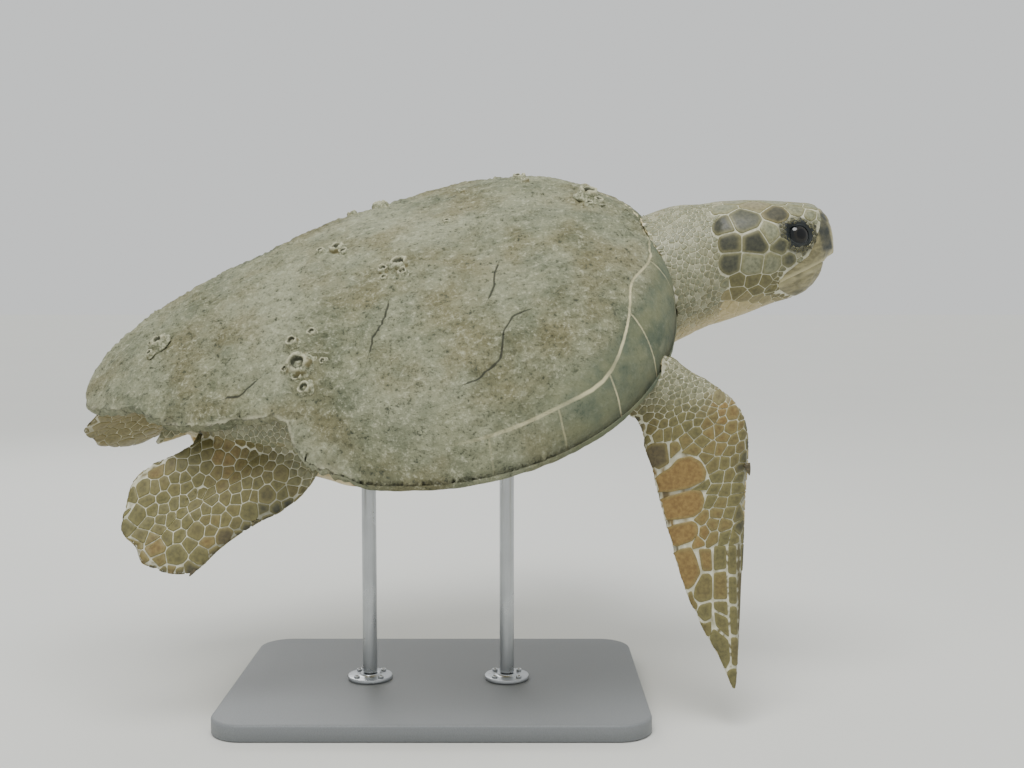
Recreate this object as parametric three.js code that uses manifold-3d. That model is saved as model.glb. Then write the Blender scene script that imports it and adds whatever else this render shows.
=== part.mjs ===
// A loggerhead sea turtle, life size, swimming in a bank to its right, held on a display stand.
// Millimetres, +Z up. The head is towards +X and the right flank towards -Y.
// The origin is the middle of the underside of the stand's base.
import * as THREE from "three";
import { mergeVertices } from "three/addons/utils/BufferGeometryUtils.js";
import Module from "manifold-3d";

const wasm = await Module();
wasm.setup();

// ---------- driving dimensions ----------

const GAP = 0.4; // clearance between pieces that meet
const SHELL = {
  length: 895, // straight length of the carapace
  width: 684, // across the carapace at its middle
  dome: 174, // crown above the margin
  thick: 18, // of the carapace plate
  rim: 12, // thickness of the carapace's edge
  depth: 108, // of the plastron's underside below the margin
};
const BANK = deg(30); // roll towards the right flank
const CLIMB = deg(8.5); // nose-up pitch of the shell
const SHELL_AT = [-87, 0, 537]; // middle of the carapace's margin plane
const HEAD_AT = [419, 0, 660]; // middle of the joint between head and neck
const HEAD_TURN = { roll: deg(12), pitch: deg(0), yaw: deg(-4) };
const BASE = { length: 620, width: 440, height: 24, corner: 50, edge: 4 };
const ROD = { radius: 11, apart: 210, across: -6 };
const FLANGE = { radius: 34, height: 9 };
const PAD = { radius: 26, height: 46 };

// ---------- small tools ----------

function deg(degrees) {
  return THREE.MathUtils.degToRad(degrees);
}

// A smooth line through (place, value) knots, as a function of place.
function through(...knots) {
  const places = knots.map(([place]) => place);
  const values = knots.map(([, value]) => value);
  const line = new THREE.CubicInterpolant(places, values, 1, [0]);
  const [first, last] = [places[0], places[places.length - 1]];
  return (place) => line.evaluate(THREE.MathUtils.clamp(place, first, last))[0];
}

// The integers 0 to count - 1, each given to make.
function times(count, make) {
  return Array.from({ length: count }, (_, index) => make(index));
}

// A closed surface through rings of equally many points, with a fan over each end.
function loft(rings) {
  const sides = rings[0].length;
  const middle = (ring) =>
    ring.reduce((sum, p) => sum.add(p), new THREE.Vector3()).divideScalar(sides);
  const points = [...rings.flat(), middle(rings[0]), middle(rings[rings.length - 1])];
  const [start, end] = [points.length - 2, points.length - 1];
  const index = [];
  for (let side = 0; side < sides; side++) {
    const next = (side + 1) % sides;
    index.push(start, next, side);
    for (let ring = 0; ring < rings.length - 1; ring++) {
      const [a, b] = [ring * sides + side, ring * sides + next];
      index.push(a, b, a + sides, b, b + sides, a + sides);
    }
    const last = (rings.length - 1) * sides;
    index.push(end, last + side, last + next);
  }
  const geometry = new THREE.BufferGeometry().setFromPoints(points);
  geometry.setIndex(index);
  return geometry;
}

// A geometry as a manifold solid, turned outside out if its faces point in.
function solid(geometry, place = new THREE.Matrix4()) {
  const bare = new THREE.BufferGeometry();
  bare.setAttribute("position", geometry.getAttribute("position").clone());
  if (geometry.index) bare.setIndex(geometry.index.clone());
  const merged = mergeVertices(bare.applyMatrix4(place), 1e-3);
  const triVerts = new Uint32Array(merged.index.array);
  const build = () =>
    new wasm.Manifold(
      new wasm.Mesh({
        numProp: 3,
        vertProperties: merged.getAttribute("position").array,
        triVerts,
      }),
    );
  const made = build();
  if (made.volume() > 0) return made;
  for (let i = 0; i < triVerts.length; i += 3) {
    [triVerts[i + 1], triVerts[i + 2]] = [triVerts[i + 2], triVerts[i + 1]];
  }
  return build();
}

// A manifold solid as a geometry.
function geometryOf(shape) {
  const { numProp, vertProperties, triVerts, numVert } = shape.getMesh();
  const positions = new Float32Array(numVert * 3);
  for (let i = 0; i < numVert; i++) {
    positions.set(vertProperties.subarray(i * numProp, i * numProp + 3), i * 3);
  }
  const geometry = new THREE.BufferGeometry();
  geometry.setAttribute("position", new THREE.BufferAttribute(positions, 3));
  geometry.setIndex(new THREE.BufferAttribute(triVerts, 1));
  return geometry;
}

// A solid pushed out by the clearance on every face, to cut its neighbours with.
function cutter(shape, by = GAP) {
  const geometry = geometryOf(shape);
  const place = geometry.getAttribute("position");
  const corners = Array.from(geometry.index.array);
  const at = (i) => new THREE.Vector3().fromBufferAttribute(place, i);
  const around = times(place.count, () => []);
  for (let i = 0; i < corners.length; i += 3) {
    const three = corners.slice(i, i + 3);
    const face = new THREE.Triangle(...three.map(at)).getNormal(new THREE.Vector3());
    three.forEach((corner) => around[corner].push(face));
  }
  around.forEach((faces, i) => {
    const out = faces.reduce((sum, face) => sum.add(face), new THREE.Vector3()).normalize();
    const least = Math.min(...faces.map((face) => face.dot(out)));
    out.multiplyScalar(by / Math.max(least, 0.35)).add(at(i));
    place.setXYZ(i, out.x, out.y, out.z);
  });
  return solid(geometry);
}

// What is left of a solid beside its neighbours, as one piece without slivers.
function fitted(shape, ...neighbours) {
  const left = neighbours.reduce((rest, other) => rest.subtract(cutter(other)), shape);
  const pieces = left.simplify(0.2).decompose();
  return pieces.reduce((a, b) => (a.volume() > b.volume() ? a : b));
}

function matrix(position, rotation = new THREE.Euler(), scale = [1, 1, 1]) {
  return new THREE.Matrix4().compose(
    new THREE.Vector3(...position),
    new THREE.Quaternion().setFromEuler(rotation),
    new THREE.Vector3(...scale),
  );
}

// ---------- carapace ----------

const SHELL_FRAME = matrix(SHELL_AT, new THREE.Euler(BANK, -CLIMB, 0, "YXZ"));
const CROWN_X = 160; // the crown lies ahead of the middle
const SHELL_ANGLES = [...times(60, (i) => 6 * i), 105, 110].sort((a, b) => a - b).map(deg);

// Half the width at each angle from the head, against a plain ellipse: broad shoulders, narrow
// loins. Angles run clockwise seen from above, so the right flank is 0 to 180 degrees.
const BREADTH = through(
  [0, 1.32], [14, 1.32], [30, 1.29], [50, 1.23], [75, 1.11], [100, 0.94], [122, 0.85], [180, 0.8],
);

// What is left of the right hind margin after old injuries, as a share of the way from the
// crown: a notch with a steep front wall, a worn stretch behind it and a nick beside the tail.
const HEALED = through(
  [94, 1], [101, 0.985], [105, 0.955], [108, 0.905], [112, 0.89], [118, 0.905], [126, 0.93],
  [134, 0.945], [148, 0.942], [155, 0.965], [162, 0.99], [168, 1],
);

// How far a direction is off the head's, in degrees, on either side.
function offTheHead(angle) {
  const turned = THREE.MathUtils.euclideanModulo(THREE.MathUtils.radToDeg(angle), 360);
  return Math.min(turned, 360 - turned);
}

// The carapace's outline seen from above: broad in front and drawn to a point behind.
function margin(angle) {
  return new THREE.Vector2(
    (SHELL.length / 2) * Math.cos(angle),
    (-SHELL.width / 2) * Math.sin(angle) * BREADTH(offTheHead(angle)),
  );
}

// The share of the way from crown to margin that the plate still covers in this direction.
function reach(angle) {
  return angle < Math.PI ? HEALED(THREE.MathUtils.radToDeg(angle)) : 1;
}

// Height over the margin plane, at a share of the way from the crown towards the margin:
// steep and blunt in front, a long slope behind.
function domeHeight(share, angle) {
  const ahead = Math.max(0, Math.cos(angle)) ** 1.5;
  const behind = Math.max(0, -Math.cos(angle)) ** 1.5;
  const blend = (front, side, rear) => front * ahead + side * (1 - ahead - behind) + rear * behind;
  const square = blend(3, 2.28, 1.95);
  const round = blend(0.4, 0.67, 0.79);
  const sheer = blend(22, 0, 5) * share ** 4;
  return SHELL.dome * Math.max(0, 1 - share ** square) ** round + sheer;
}

// A point of the carapace's upper face in the shell's frame.
function shellPoint(share, angle) {
  const edge = margin(angle);
  const x = THREE.MathUtils.lerp(CROWN_X, edge.x, share);
  return new THREE.Vector3(x, edge.y * share, domeHeight(share, angle));
}

// The same point sunk into the plate, square to its upper face.
function sunkPoint(share, angle, depth) {
  const here = shellPoint(share, angle);
  const inward = shellPoint(share - 0.01, angle).sub(here);
  const around = shellPoint(share, angle + 0.01).sub(here);
  const down = inward.cross(around).normalize();
  return here.addScaledVector(down.z > 0 ? down.negate() : down, depth);
}

function carapace() {
  const ring = (share, make) => SHELL_ANGLES.map((angle) => make(share * reach(angle), angle));
  const over = [0.14, 0.28, 0.42, 0.55, 0.67, 0.78, 0.87, 0.94, 1];
  const under = [0.935, 0.8, 0.62, 0.36];
  const lip = (share, angle) => {
    const edge = shellPoint(share, angle);
    return shellPoint(share * 0.982, angle).setZ(edge.z - SHELL.rim);
  };
  return solid(
    loft([
      ...over.map((share) => ring(share, shellPoint)),
      ring(1, lip),
      ...under.map((share) => ring(share, (s, a) => sunkPoint(s, a, SHELL.thick))),
    ]),
    SHELL_FRAME,
  );
}

// ---------- plastron and trunk ----------

// How far the plastron reaches from its middle at each angle: a blunt front lobe, bridges that
// run out to the carapace, and a narrow hind lobe.
const PLASTRON_REACH = through(
  [0, 282], [20, 264], [40, 256], [56, 284], [72, 316], [86, 306], [98, 268], [112, 224],
  [130, 212], [148, 244], [165, 294], [180, 320],
);
const PLASTRON_THICK = 16;

// A point of the plastron's underside in the shell's frame, raised by the lift given.
function plastronPoint(share, angle, lift = 0) {
  const out = share * PLASTRON_REACH(offTheHead(angle));
  const [x, y] = [out * Math.cos(angle), -out * Math.sin(angle)];
  const bridge = 84 * Math.abs(y / 315) ** 3;
  const throat = 16 * Math.max(0, x / 282) ** 4;
  return new THREE.Vector3(x, y, bridge + throat + lift - SHELL.depth);
}

function plastronRing(share, lift) {
  return times(36, (i) => plastronPoint(share, deg(10 * i), lift));
}

function plastron() {
  return solid(
    loft([
      ...[0.35, 0.65, 0.86, 1].map((share) => plastronRing(share, 0)),
      ...[0.985, 0.8, 0.5].map((share) => plastronRing(share, PLASTRON_THICK)),
    ]),
    SHELL_FRAME,
  );
}

// The soft body that fills the shell: close under the carapace, drawn in below its margin, and
// let into the plastron.
function trunk() {
  const ring = (make) => times(30, (i) => make(deg(12 * i)));
  const underShell = (share) =>
    ring((angle) => sunkPoint(share * reach(angle), angle, SHELL.thick + 6));
  const wall = (share, height) =>
    ring((angle) => shellPoint(share * reach(angle), angle).setZ(height));
  const intoPlastron = (share) =>
    ring((angle) => plastronPoint(share, angle, PLASTRON_THICK / 2));
  return solid(
    loft([
      ...[0.3, 0.58, 0.78, 0.9].map(underShell),
      wall(0.9, -4),
      wall(0.86, -34),
      intoPlastron(0.93),
      intoPlastron(0.5),
    ]),
    SHELL_FRAME,
  );
}

// ---------- neck and head ----------

const NECK_SIDES = 24;

// An upright oval in the plane across X: half widths and heights, squarer as corner passes 2.
function oval(sides, { x, y = 0, z, wide, up, down = up, corner = 2, chin = 1 }) {
  return times(sides, (i) => {
    const angle = (2 * Math.PI * i) / sides;
    const [c, s] = [Math.cos(angle), Math.sin(angle)];
    const across = Math.sign(c) * Math.abs(c) ** (2 / corner);
    const tall = Math.sign(s) * Math.abs(s) ** (2 / corner);
    const narrow = s < 0 ? THREE.MathUtils.lerp(1, chin, -s) : 1;
    return new THREE.Vector3(x, y + wide * narrow * across, z + tall * (s > 0 ? up : down));
  });
}

const NECK = [
  { x: 150, y: 30, z: 598, wide: 104, up: 72, down: 62 },
  { x: 205, y: 30, z: 606, wide: 118, up: 88, down: 84 },
  { x: 255, y: 24, z: 614, wide: 122, up: 97, down: 98 },
  { x: 310, y: 15, z: 629, wide: 114, up: 102, down: 107 },
  { x: 355, y: 8, z: 642, wide: 102, up: 104, down: 104 },
  { x: 390, y: 3, z: 651, wide: 91, up: 97, down: 94 },
  { x: 422, y: 0, z: 658, wide: 79, up: 89, down: 84 },
  { x: 440, y: 0, z: 660, wide: 58, up: 62, down: 58 },
];

function neck() {
  return solid(loft(NECK.map((station) => oval(NECK_SIDES, station))));
}

const HEAD_FRAME = matrix(
  HEAD_AT,
  new THREE.Euler(HEAD_TURN.roll, -HEAD_TURN.pitch, HEAD_TURN.yaw, "ZYX"),
);
const HEAD = {
  top: through(
    [-6, 91], [0, 91], [45, 93], [85, 92], [118, 90], [138, 88], [148, 84], [156, 76], [163, 66],
    [168, 54], [172, 38], [174, 23],
  ),
  bottom: through(
    [-6, -93], [0, -92], [45, -77], [85, -61], [115, -52], [135, -42], [148, -29], [156, -15],
    [160, 0], [164, 8], [169, 12], [174, 15],
  ),
  half: through(
    [-6, 84], [0, 85], [30, 84], [60, 79], [90, 68], [120, 55], [145, 41], [158, 30], [167, 20],
    [171, 13], [174, 6],
  ),
  stations: [-4, 24, 52, 80, 103, 121, 136, 148, 156, 163, 168, 172, 174],
};

function skull() {
  return solid(
    loft(
      HEAD.stations.map((x) => {
        const [top, bottom] = [HEAD.top(x), HEAD.bottom(x)];
        const z = THREE.MathUtils.lerp(bottom, top, 0.56);
        return oval(NECK_SIDES + 2, {
          x, z, wide: HEAD.half(x), up: top - z, down: z - bottom, corner: 2.5, chin: 0.72,
        });
      }),
    ),
    HEAD_FRAME,
  );
}

// A block across the whole head with the side outline given as (x, z) corners.
function blockAcross(corners) {
  const outline = new THREE.Shape(corners.map(([x, z]) => new THREE.Vector2(x, z)));
  const geometry = new THREE.ExtrudeGeometry(outline, { depth: 240, bevelEnabled: false });
  geometry.translate(0, 0, -120).rotateX(Math.PI / 2);
  return solid(geometry, HEAD_FRAME);
}

// The gape runs from the corner of the mouth forward to under the beak's tip.
const GAPE = [[90, -21], [108, -12], [126, -5], [142, 2], [160, 7], [190, 10]];
const UPPER_BEAK = [
  ...GAPE, [190, 95], [149, 95], [147, 70], [143, 44], [130, 20], [110, 6], [90, -12],
];
const LOWER_BEAK = [
  ...GAPE.slice(0, 5), [190, -6], [190, -60], [146, -60], [112, -48], [90, -34],
];
const EYE = { x: 111, side: 42, z: 47, radius: 20, socket: 22.5 };

function eyePlace(side) {
  return HEAD_FRAME.clone().multiply(matrix([EYE.x, -side * EYE.side, EYE.z]));
}

function eyeball(side) {
  const ball = new THREE.SphereGeometry(EYE.radius, 13, 8);
  return solid(ball, eyePlace(side));
}

// ---------- flippers ----------

// A flat limb between a leading and a trailing edge, each a list of (forward, outward) knots.
// Thickness and bow are functions of the way out, from 0 at the root to 1 at the tip.
function blade({ leading, trailing, thick, bow, stations, sides = 20, thin = 5 }) {
  const curve = (knots) =>
    new THREE.CatmullRomCurve3(knots.map(([p, q]) => new THREE.Vector3(p, q, 0)), false, "centripetal");
  const [lead, trail] = [curve(leading), curve(trailing)];
  return loft(
    times(stations, (i) => {
      const way = i / (stations - 1);
      const out = 1 - (1 - way) ** 1.25;
      const [front, back] = [lead.getPointAt(out), trail.getPointAt(out)];
      const half = thick(out) / 2;
      return times(sides, (j) => {
        const angle = (2 * Math.PI * j) / sides;
        const share = (1 + Math.cos(angle)) / 2;
        const body = Math.sin(angle) * (thin / 2 + (half - thin / 2) * (0.25 + 0.75 * share));
        const point = back.clone().lerp(front, share);
        return new THREE.Vector3(point.x, point.y, body + bow(out, share));
      });
    }),
  );
}

// A frame from its origin, the direction of the leading edge and the direction outwards.
function limbFrame(origin, forward, outward) {
  const q = new THREE.Vector3(...outward).normalize();
  const p = new THREE.Vector3(...forward);
  p.addScaledVector(q, -p.dot(q)).normalize();
  const n = new THREE.Vector3().crossVectors(p, q);
  return new THREE.Matrix4().makeBasis(p, q, n).setPosition(...origin);
}

const FRONT_FLIPPER = {
  leading: [[-40, -66], [20, -46], [56, -20], [86, -3], [112, 16], [130, 40], [138, 70], [139, 105], [136, 160], [134, 225], [131, 310], [128, 380], [124, 428]],
  trailing: [[-96, 6], [-52, 30], [-14, 56], [-8, 84], [0, 112], [8, 142], [18, 180], [30, 222], [48, 284], [66, 324], [86, 366], [106, 406], [120, 430]],
  thick: through([0, 92], [0.2, 74], [0.4, 44], [0.6, 28], [0.8, 18], [1, 8]),
  bow: (out, share) => 14 * Math.sin(Math.PI * out) * (share - 0.3),
  stations: 18,
  sides: 18,
};
const HIND_FLIPPER = {
  leading: [[-8, -160], [20, -90], [48, -30], [60, 10], [60, 50], [48, 95], [41, 150], [42, 196], [22, 222], [-16, 243]],
  trailing: [[-84, -160], [-92, -90], [-98, -10], [-100, 60], [-106, 108], [-120, 150], [-118, 182], [-98, 210], [-74, 236], [-46, 234]],
  thick: through([0, 78], [0.35, 70], [0.55, 48], [0.75, 26], [1, 11]),
  bow: (out, share) => 9 * Math.exp(-(((share - 0.42) / 0.14) ** 2)) * Math.sin(Math.PI * out ** 1.5),
  stations: 15,
  sides: 18,
  thin: 7,
};

const RIGHT_SHOULDER = limbFrame([304, -170, 488], [1, 0, 0], [0, 0, -1]);
const LEFT_SHOULDER = limbFrame([190, 200, 626], [0.87, 0.46, 0.12], [-0.45, 0.87, -0.12]);
const RIGHT_HIP = limbFrame([-206, -150, 388], [0.62, -0.3, -0.72], [-0.72, -0.2, -0.63]);
const LEFT_HIP = limbFrame([-338, 150, 460], [0.1, 0.85, -0.4], [-0.92, -0.02, -0.4]);

// ---------- tail ----------

const TAIL = { length: 150, root: 46 };

function tail() {
  const path = new THREE.CatmullRomCurve3([
    new THREE.Vector3(-215, 4, -50),
    new THREE.Vector3(-285, -4, -68),
    new THREE.Vector3(-330, -20, -80),
    new THREE.Vector3(-366, -46, -90),
  ]);
  const steps = 9;
  const frames = path.computeFrenetFrames(steps);
  const rings = times(steps, (i) => {
    const way = i / steps;
    const radius = TAIL.root * (1 - way) ** 0.75;
    return times(14, (j) => {
      const angle = (2 * Math.PI * j) / 14;
      return path
        .getPointAt(way)
        .addScaledVector(frames.normals[i], radius * Math.cos(angle))
        .addScaledVector(frames.binormals[i], radius * Math.sin(angle));
    });
  });
  return solid(loft(rings), SHELL_FRAME);
}

// ---------- claws and barnacles ----------

const CLAW = { length: 17, radius: 5 };

// A claw on a limb's edge, at (forward, outward) in the limb's frame and pointing that way too.
function claw(frame, [p, q], [forward, outward]) {
  const cone = new THREE.ConeGeometry(CLAW.radius, CLAW.length, 8, 1);
  cone.scale(1, 1, 0.6);
  const turn = matrix([p, q, 0], new THREE.Euler(0, 0, Math.atan2(-forward, outward)));
  return solid(cone, frame.clone().multiply(turn));
}

// Barnacles by their place on the carapace: share from crown to margin, angle and radius.
const BARNACLES = {
  crown: { share: 0.28, degrees: 116, radius: 14 },
  keel: { share: 0.32, degrees: 190, radius: 12 },
  flank: { share: 0.73, degrees: 113, radius: 19 },
  rear: { share: 0.78, degrees: 168, radius: 13 },
  shoulder: { share: 0.955, degrees: 324, radius: 17 },
  far: { share: 0.75, degrees: 266, radius: 13 },
};

// A squat hollow cone of shell, standing square to the carapace.
function barnacle({ share, degrees, radius }) {
  const angle = deg(degrees);
  const here = shellPoint(share, angle);
  const outwards = shellPoint(share + 0.02, angle).sub(here);
  const along = shellPoint(share, angle + 0.02).sub(here);
  const normal = outwards.cross(along).normalize();
  if (normal.z < 0) normal.negate();
  const height = radius * 0.8;
  const profile = [
    [0, -0.3], [1.04, -0.3], [0.86, 0.6], [0.62, 1], [0.48, 1], [0.36, 0.4], [0, 0.35],
  ].map(([r, h]) => new THREE.Vector2(r * radius, h * height));
  const turned = new THREE.LatheGeometry(profile, 9);
  const upright = new THREE.Quaternion().setFromUnitVectors(new THREE.Vector3(0, 1, 0), normal);
  const place = new THREE.Matrix4().compose(here, upright, new THREE.Vector3(1, 1, 1));
  return solid(turned, SHELL_FRAME.clone().multiply(place));
}

// ---------- stand ----------

function standBase() {
  const { length, width, height, corner, edge } = BASE;
  const [x, y] = [length / 2 - edge, width / 2 - edge];
  const outline = new THREE.Shape();
  outline.moveTo(-x + corner, -y);
  outline.lineTo(x - corner, -y).absarc(x - corner, -y + corner, corner, -Math.PI / 2, 0);
  outline.lineTo(x, y - corner).absarc(x - corner, y - corner, corner, 0, Math.PI / 2);
  outline.lineTo(-x + corner, y).absarc(-x + corner, y - corner, corner, Math.PI / 2, Math.PI);
  outline.lineTo(-x, -y + corner).absarc(-x + corner, -y + corner, corner, Math.PI, 1.5 * Math.PI);
  const plate = new THREE.ExtrudeGeometry(outline, {
    depth: height - 2 * edge, bevelThickness: edge, bevelSize: edge, bevelSegments: 1, curveSegments: 5,
  });
  return solid(plate.translate(0, 0, edge));
}

function upright(radius, height, bottom, x) {
  const post = new THREE.CylinderGeometry(radius, radius, height, 20);
  post.rotateX(Math.PI / 2).translate(x, ROD.across, bottom + height / 2);
  return solid(post);
}

// ---------- assembly ----------

const turtle = new THREE.Group();

function add(name, shape, color, roughness = 0.8, metalness = 0) {
  const material = new THREE.MeshStandardMaterial({ color, roughness, metalness });
  const mesh = new THREE.Mesh(geometryOf(shape), material);
  mesh.name = name;
  turtle.add(mesh);
}

const COLOUR = {
  shell: 0x8c9a80,
  belly: 0xc9c08c,
  skin: 0x7f9a86,
  head: 0x8a9068,
  beak: 0x5d6b4c,
  eye: 0x1c2a2c,
  claw: 0x4a4a3a,
  barnacle: 0xb9b59a,
  plate: 0x6d7073,
  steel: 0xb8bcc0,
};

const shellPlate = carapace();
const bellyPlate = plastron();
const body = trunk();
const throat = neck();
const head = skull();
const plates = [shellPlate, bellyPlate];
const upperBeak = blockAcross(UPPER_BEAK);
const lowerBeak = blockAcross(LOWER_BEAK);
const sockets = [1, -1].map((side) =>
  solid(new THREE.SphereGeometry(EYE.socket, 12, 8), eyePlace(side)),
);

add("carapace", shellPlate, COLOUR.shell, 0.9);
add("plastron", bellyPlate, COLOUR.belly);
add("trunk", fitted(body, ...plates), COLOUR.skin);
add("neck", fitted(throat, head, body, ...plates), COLOUR.skin);
add("head", fitted(head, upperBeak, lowerBeak, ...sockets), COLOUR.head);
add("beak_upper", fitted(head.intersect(upperBeak), ...sockets), COLOUR.beak, 0.5);
add("beak_lower", fitted(head.intersect(lowerBeak), upperBeak), COLOUR.beak, 0.5);
add("eye_right", eyeball(1), COLOUR.eye, 0.2);
add("eye_left", eyeball(-1), COLOUR.eye, 0.2);
add("tail", fitted(tail(), body, ...plates), COLOUR.skin);

const front = { shape: FRONT_FLIPPER, claw: [[138, 118], [0.4, 1]] };
const hind = { shape: HIND_FLIPPER, claw: [[40, 197], [0.5, 1]] };
const limbs = {
  front_flipper_right: { ...front, frame: RIGHT_SHOULDER },
  front_flipper_left: { ...front, frame: LEFT_SHOULDER },
  hind_flipper_right: { ...hind, frame: RIGHT_HIP },
  hind_flipper_left: { ...hind, frame: LEFT_HIP },
};
for (const [name, limb] of Object.entries(limbs)) {
  const flipper = solid(blade(limb.shape), limb.frame);
  add(name, fitted(flipper, body, throat, ...plates), COLOUR.skin);
  const nail = fitted(claw(limb.frame, ...limb.claw), flipper);
  add(name.replace("flipper", "claw"), nail, COLOUR.claw, 0.5);
}

for (const [name, place] of Object.entries(BARNACLES)) {
  add(`barnacle_${name}`, fitted(barnacle(place), shellPlate), COLOUR.barnacle, 0.95);
}

add("stand_base", standBase(), COLOUR.plate, 0.6);
for (const [name, side] of [["front", 1], ["rear", -1]]) {
  const x = (side * ROD.apart) / 2;
  const flangeTop = BASE.height + GAP + FLANGE.height;
  const sole = Math.min(...rodTouches(x));
  const padBottom = sole - PAD.height / 2;
  const rod = upright(ROD.radius, padBottom - GAP - flangeTop - GAP, flangeTop + GAP, x);
  const pad = upright(PAD.radius, PAD.height * 2, padBottom, x);
  add(`stand_flange_${name}`, upright(FLANGE.radius, FLANGE.height, BASE.height + GAP, x), COLOUR.steel, 0.4, 1);
  add(`stand_rod_${name}`, rod, COLOUR.steel, 0.35, 1);
  add(`stand_pad_${name}`, fitted(pad, bellyPlate, body), COLOUR.plate, 0.7);
}

// The heights of the plastron's underside around a rod.
function rodTouches(x) {
  const ring = upright(PAD.radius, 600, BASE.height + 100, x).intersect(bellyPlate);
  return [ring.boundingBox().min[2]];
}

export default turtle;
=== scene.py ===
# %% [markdown]
# # A loggerhead turtle on its stand
# An old loggerhead, life size, swims in a bank to its right and rests on two rods. The packed
# model gives every place. This lesson gives it a skin and a finish, in the order a model
# maker would work: the shell, what grows on it, the flesh, the head, and last the scales.

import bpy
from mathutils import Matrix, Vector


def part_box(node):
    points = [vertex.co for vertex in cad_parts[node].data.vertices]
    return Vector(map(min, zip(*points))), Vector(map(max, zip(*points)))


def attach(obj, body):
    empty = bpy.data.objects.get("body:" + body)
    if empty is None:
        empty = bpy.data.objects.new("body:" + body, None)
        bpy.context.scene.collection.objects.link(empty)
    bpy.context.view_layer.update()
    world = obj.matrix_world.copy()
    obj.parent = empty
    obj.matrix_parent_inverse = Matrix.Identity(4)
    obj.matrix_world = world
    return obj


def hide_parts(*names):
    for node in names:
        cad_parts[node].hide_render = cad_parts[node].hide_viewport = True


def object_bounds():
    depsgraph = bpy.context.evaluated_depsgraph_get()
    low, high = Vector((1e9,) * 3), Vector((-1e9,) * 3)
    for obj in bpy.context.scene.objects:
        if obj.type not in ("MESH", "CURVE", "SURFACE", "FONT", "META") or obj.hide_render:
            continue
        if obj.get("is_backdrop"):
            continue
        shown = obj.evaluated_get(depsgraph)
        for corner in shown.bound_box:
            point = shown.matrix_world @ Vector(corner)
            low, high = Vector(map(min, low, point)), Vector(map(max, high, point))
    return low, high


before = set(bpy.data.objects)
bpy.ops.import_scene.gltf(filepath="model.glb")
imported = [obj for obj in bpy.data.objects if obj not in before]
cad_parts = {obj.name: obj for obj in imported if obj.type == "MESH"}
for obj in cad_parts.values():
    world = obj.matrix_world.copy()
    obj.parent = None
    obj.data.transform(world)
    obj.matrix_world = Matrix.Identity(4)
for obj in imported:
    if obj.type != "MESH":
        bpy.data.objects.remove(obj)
cad_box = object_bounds()
print("frame loaded with", len(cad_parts), "nodes")

# %% [markdown]
# The laws of the shell, head and flippers are written in millimetres, as the solids' laws
# are, and turned into metres when a mesh is made. Numbers that change smoothly along a
# length are given at a few places, and a smooth line runs through them.

# %% Numbers that change smoothly
import math
from itertools import product

import bmesh
import bpy
import numpy as np
from mathutils import Matrix, Vector
from mathutils.bvhtree import BVHTree
from mathutils.kdtree import KDTree

MM = 0.001


def through(*knots):
    """A smooth line through (place, value) knots, as a function of place."""
    places, values = np.array(knots, float).T
    steps = np.diff(values) / np.diff(places)
    slopes = np.concatenate([steps[:1], (steps[1:] + steps[:-1]) / 2, steps[-1:]])

    def line(place):
        place = np.clip(place, places[0], places[-1])
        i = np.clip(np.searchsorted(places, place, side="right") - 1, 0, len(places) - 2)
        width = places[i + 1] - places[i]
        t = (place - places[i]) / width
        rise = values[i] * (1 + 2 * t) * (1 - t) ** 2 + values[i + 1] * t * t * (3 - 2 * t)
        return rise + width * t * (1 - t) * (slopes[i] * (1 - t) - slopes[i + 1] * t)

    return line


def smoothstep(low, high, value):
    """0 under low, 1 over high, and a soft rise between."""
    t = np.clip((value - low) / (high - low), 0, 1)
    return t * t * (3 - 2 * t)


def bell(*parts):
    """1 where each (value, middle, width) is at its middle, and less the further it is off."""
    return np.exp(-sum(((value - middle) / width) ** 2 for value, middle, width in parts))


def lengths(arrows):
    return np.linalg.norm(arrows, axis=-1)


def unit(arrows):
    """Arrows of length 1 with the same directions."""
    return arrows / lengths(arrows)[..., None]


print("halfway between 1 and 3:", float(through((0, 1), (1, 3))(0.5)))

# %% [markdown]
# Worn shell and living skin are never even. Lumps of a chosen size come from a lattice of
# fixed, scrambled numbers with smooth slopes between them, so each run gives the same ones.

# %% Lumps
def scrambled(whole, seed):
    """A number from -1 to 1 for each row of whole numbers."""
    mixed = (whole * np.array([73856093, 19349663, 83492791])).sum(-1) + seed * 97531
    mixed = (mixed ^ (mixed >> 13)) & 0x7FFFFFFF
    mixed = (mixed * 1274126177) & 0x7FFFFFFF
    mixed = mixed ^ (mixed >> 15)
    return (mixed % 65521) / 32760.5 - 1


def lumps(points, size, seed=0):
    """Smooth unevenness from about -1 to 1, with lumps of the size given."""
    spot = np.asarray(points, float) / size + 7.3 * seed
    cell = np.floor(spot).astype(np.int64)
    inside = spot - cell
    ease = inside * inside * (3 - 2 * inside)
    total = np.zeros(len(spot))
    for corner in product((0, 1), repeat=3):
        share = np.where(corner, ease, 1 - ease).prod(-1)
        total += share * scrambled(cell + corner, seed)
    return total * 1.6


def rough(points, size, seed=0, layers=3):
    """Lumps with finer lumps on them."""
    return sum(lumps(points, size / 2**i, seed + i) / 2**i for i in range(layers))


print("lumps at two places:", lumps(np.array([[1.0, 2, 3], [4, 5, 6]]), 2).round(3))

# %% [markdown]
# A mesh piece is made from points and the corners of its faces. A net of rows and columns
# covers most shapes here: tubes, cones, rims and blades all wrap such a net around.

# %% Meshes from points
def round_angles(sides):
    """Angles evenly round a circle."""
    return 2 * np.pi * np.arange(sides) / sides


def spots_at(x, y, z):
    """Points from coordinates that are arrays or single numbers."""
    return np.stack(np.broadcast_arrays(x, y, z), -1)


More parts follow.
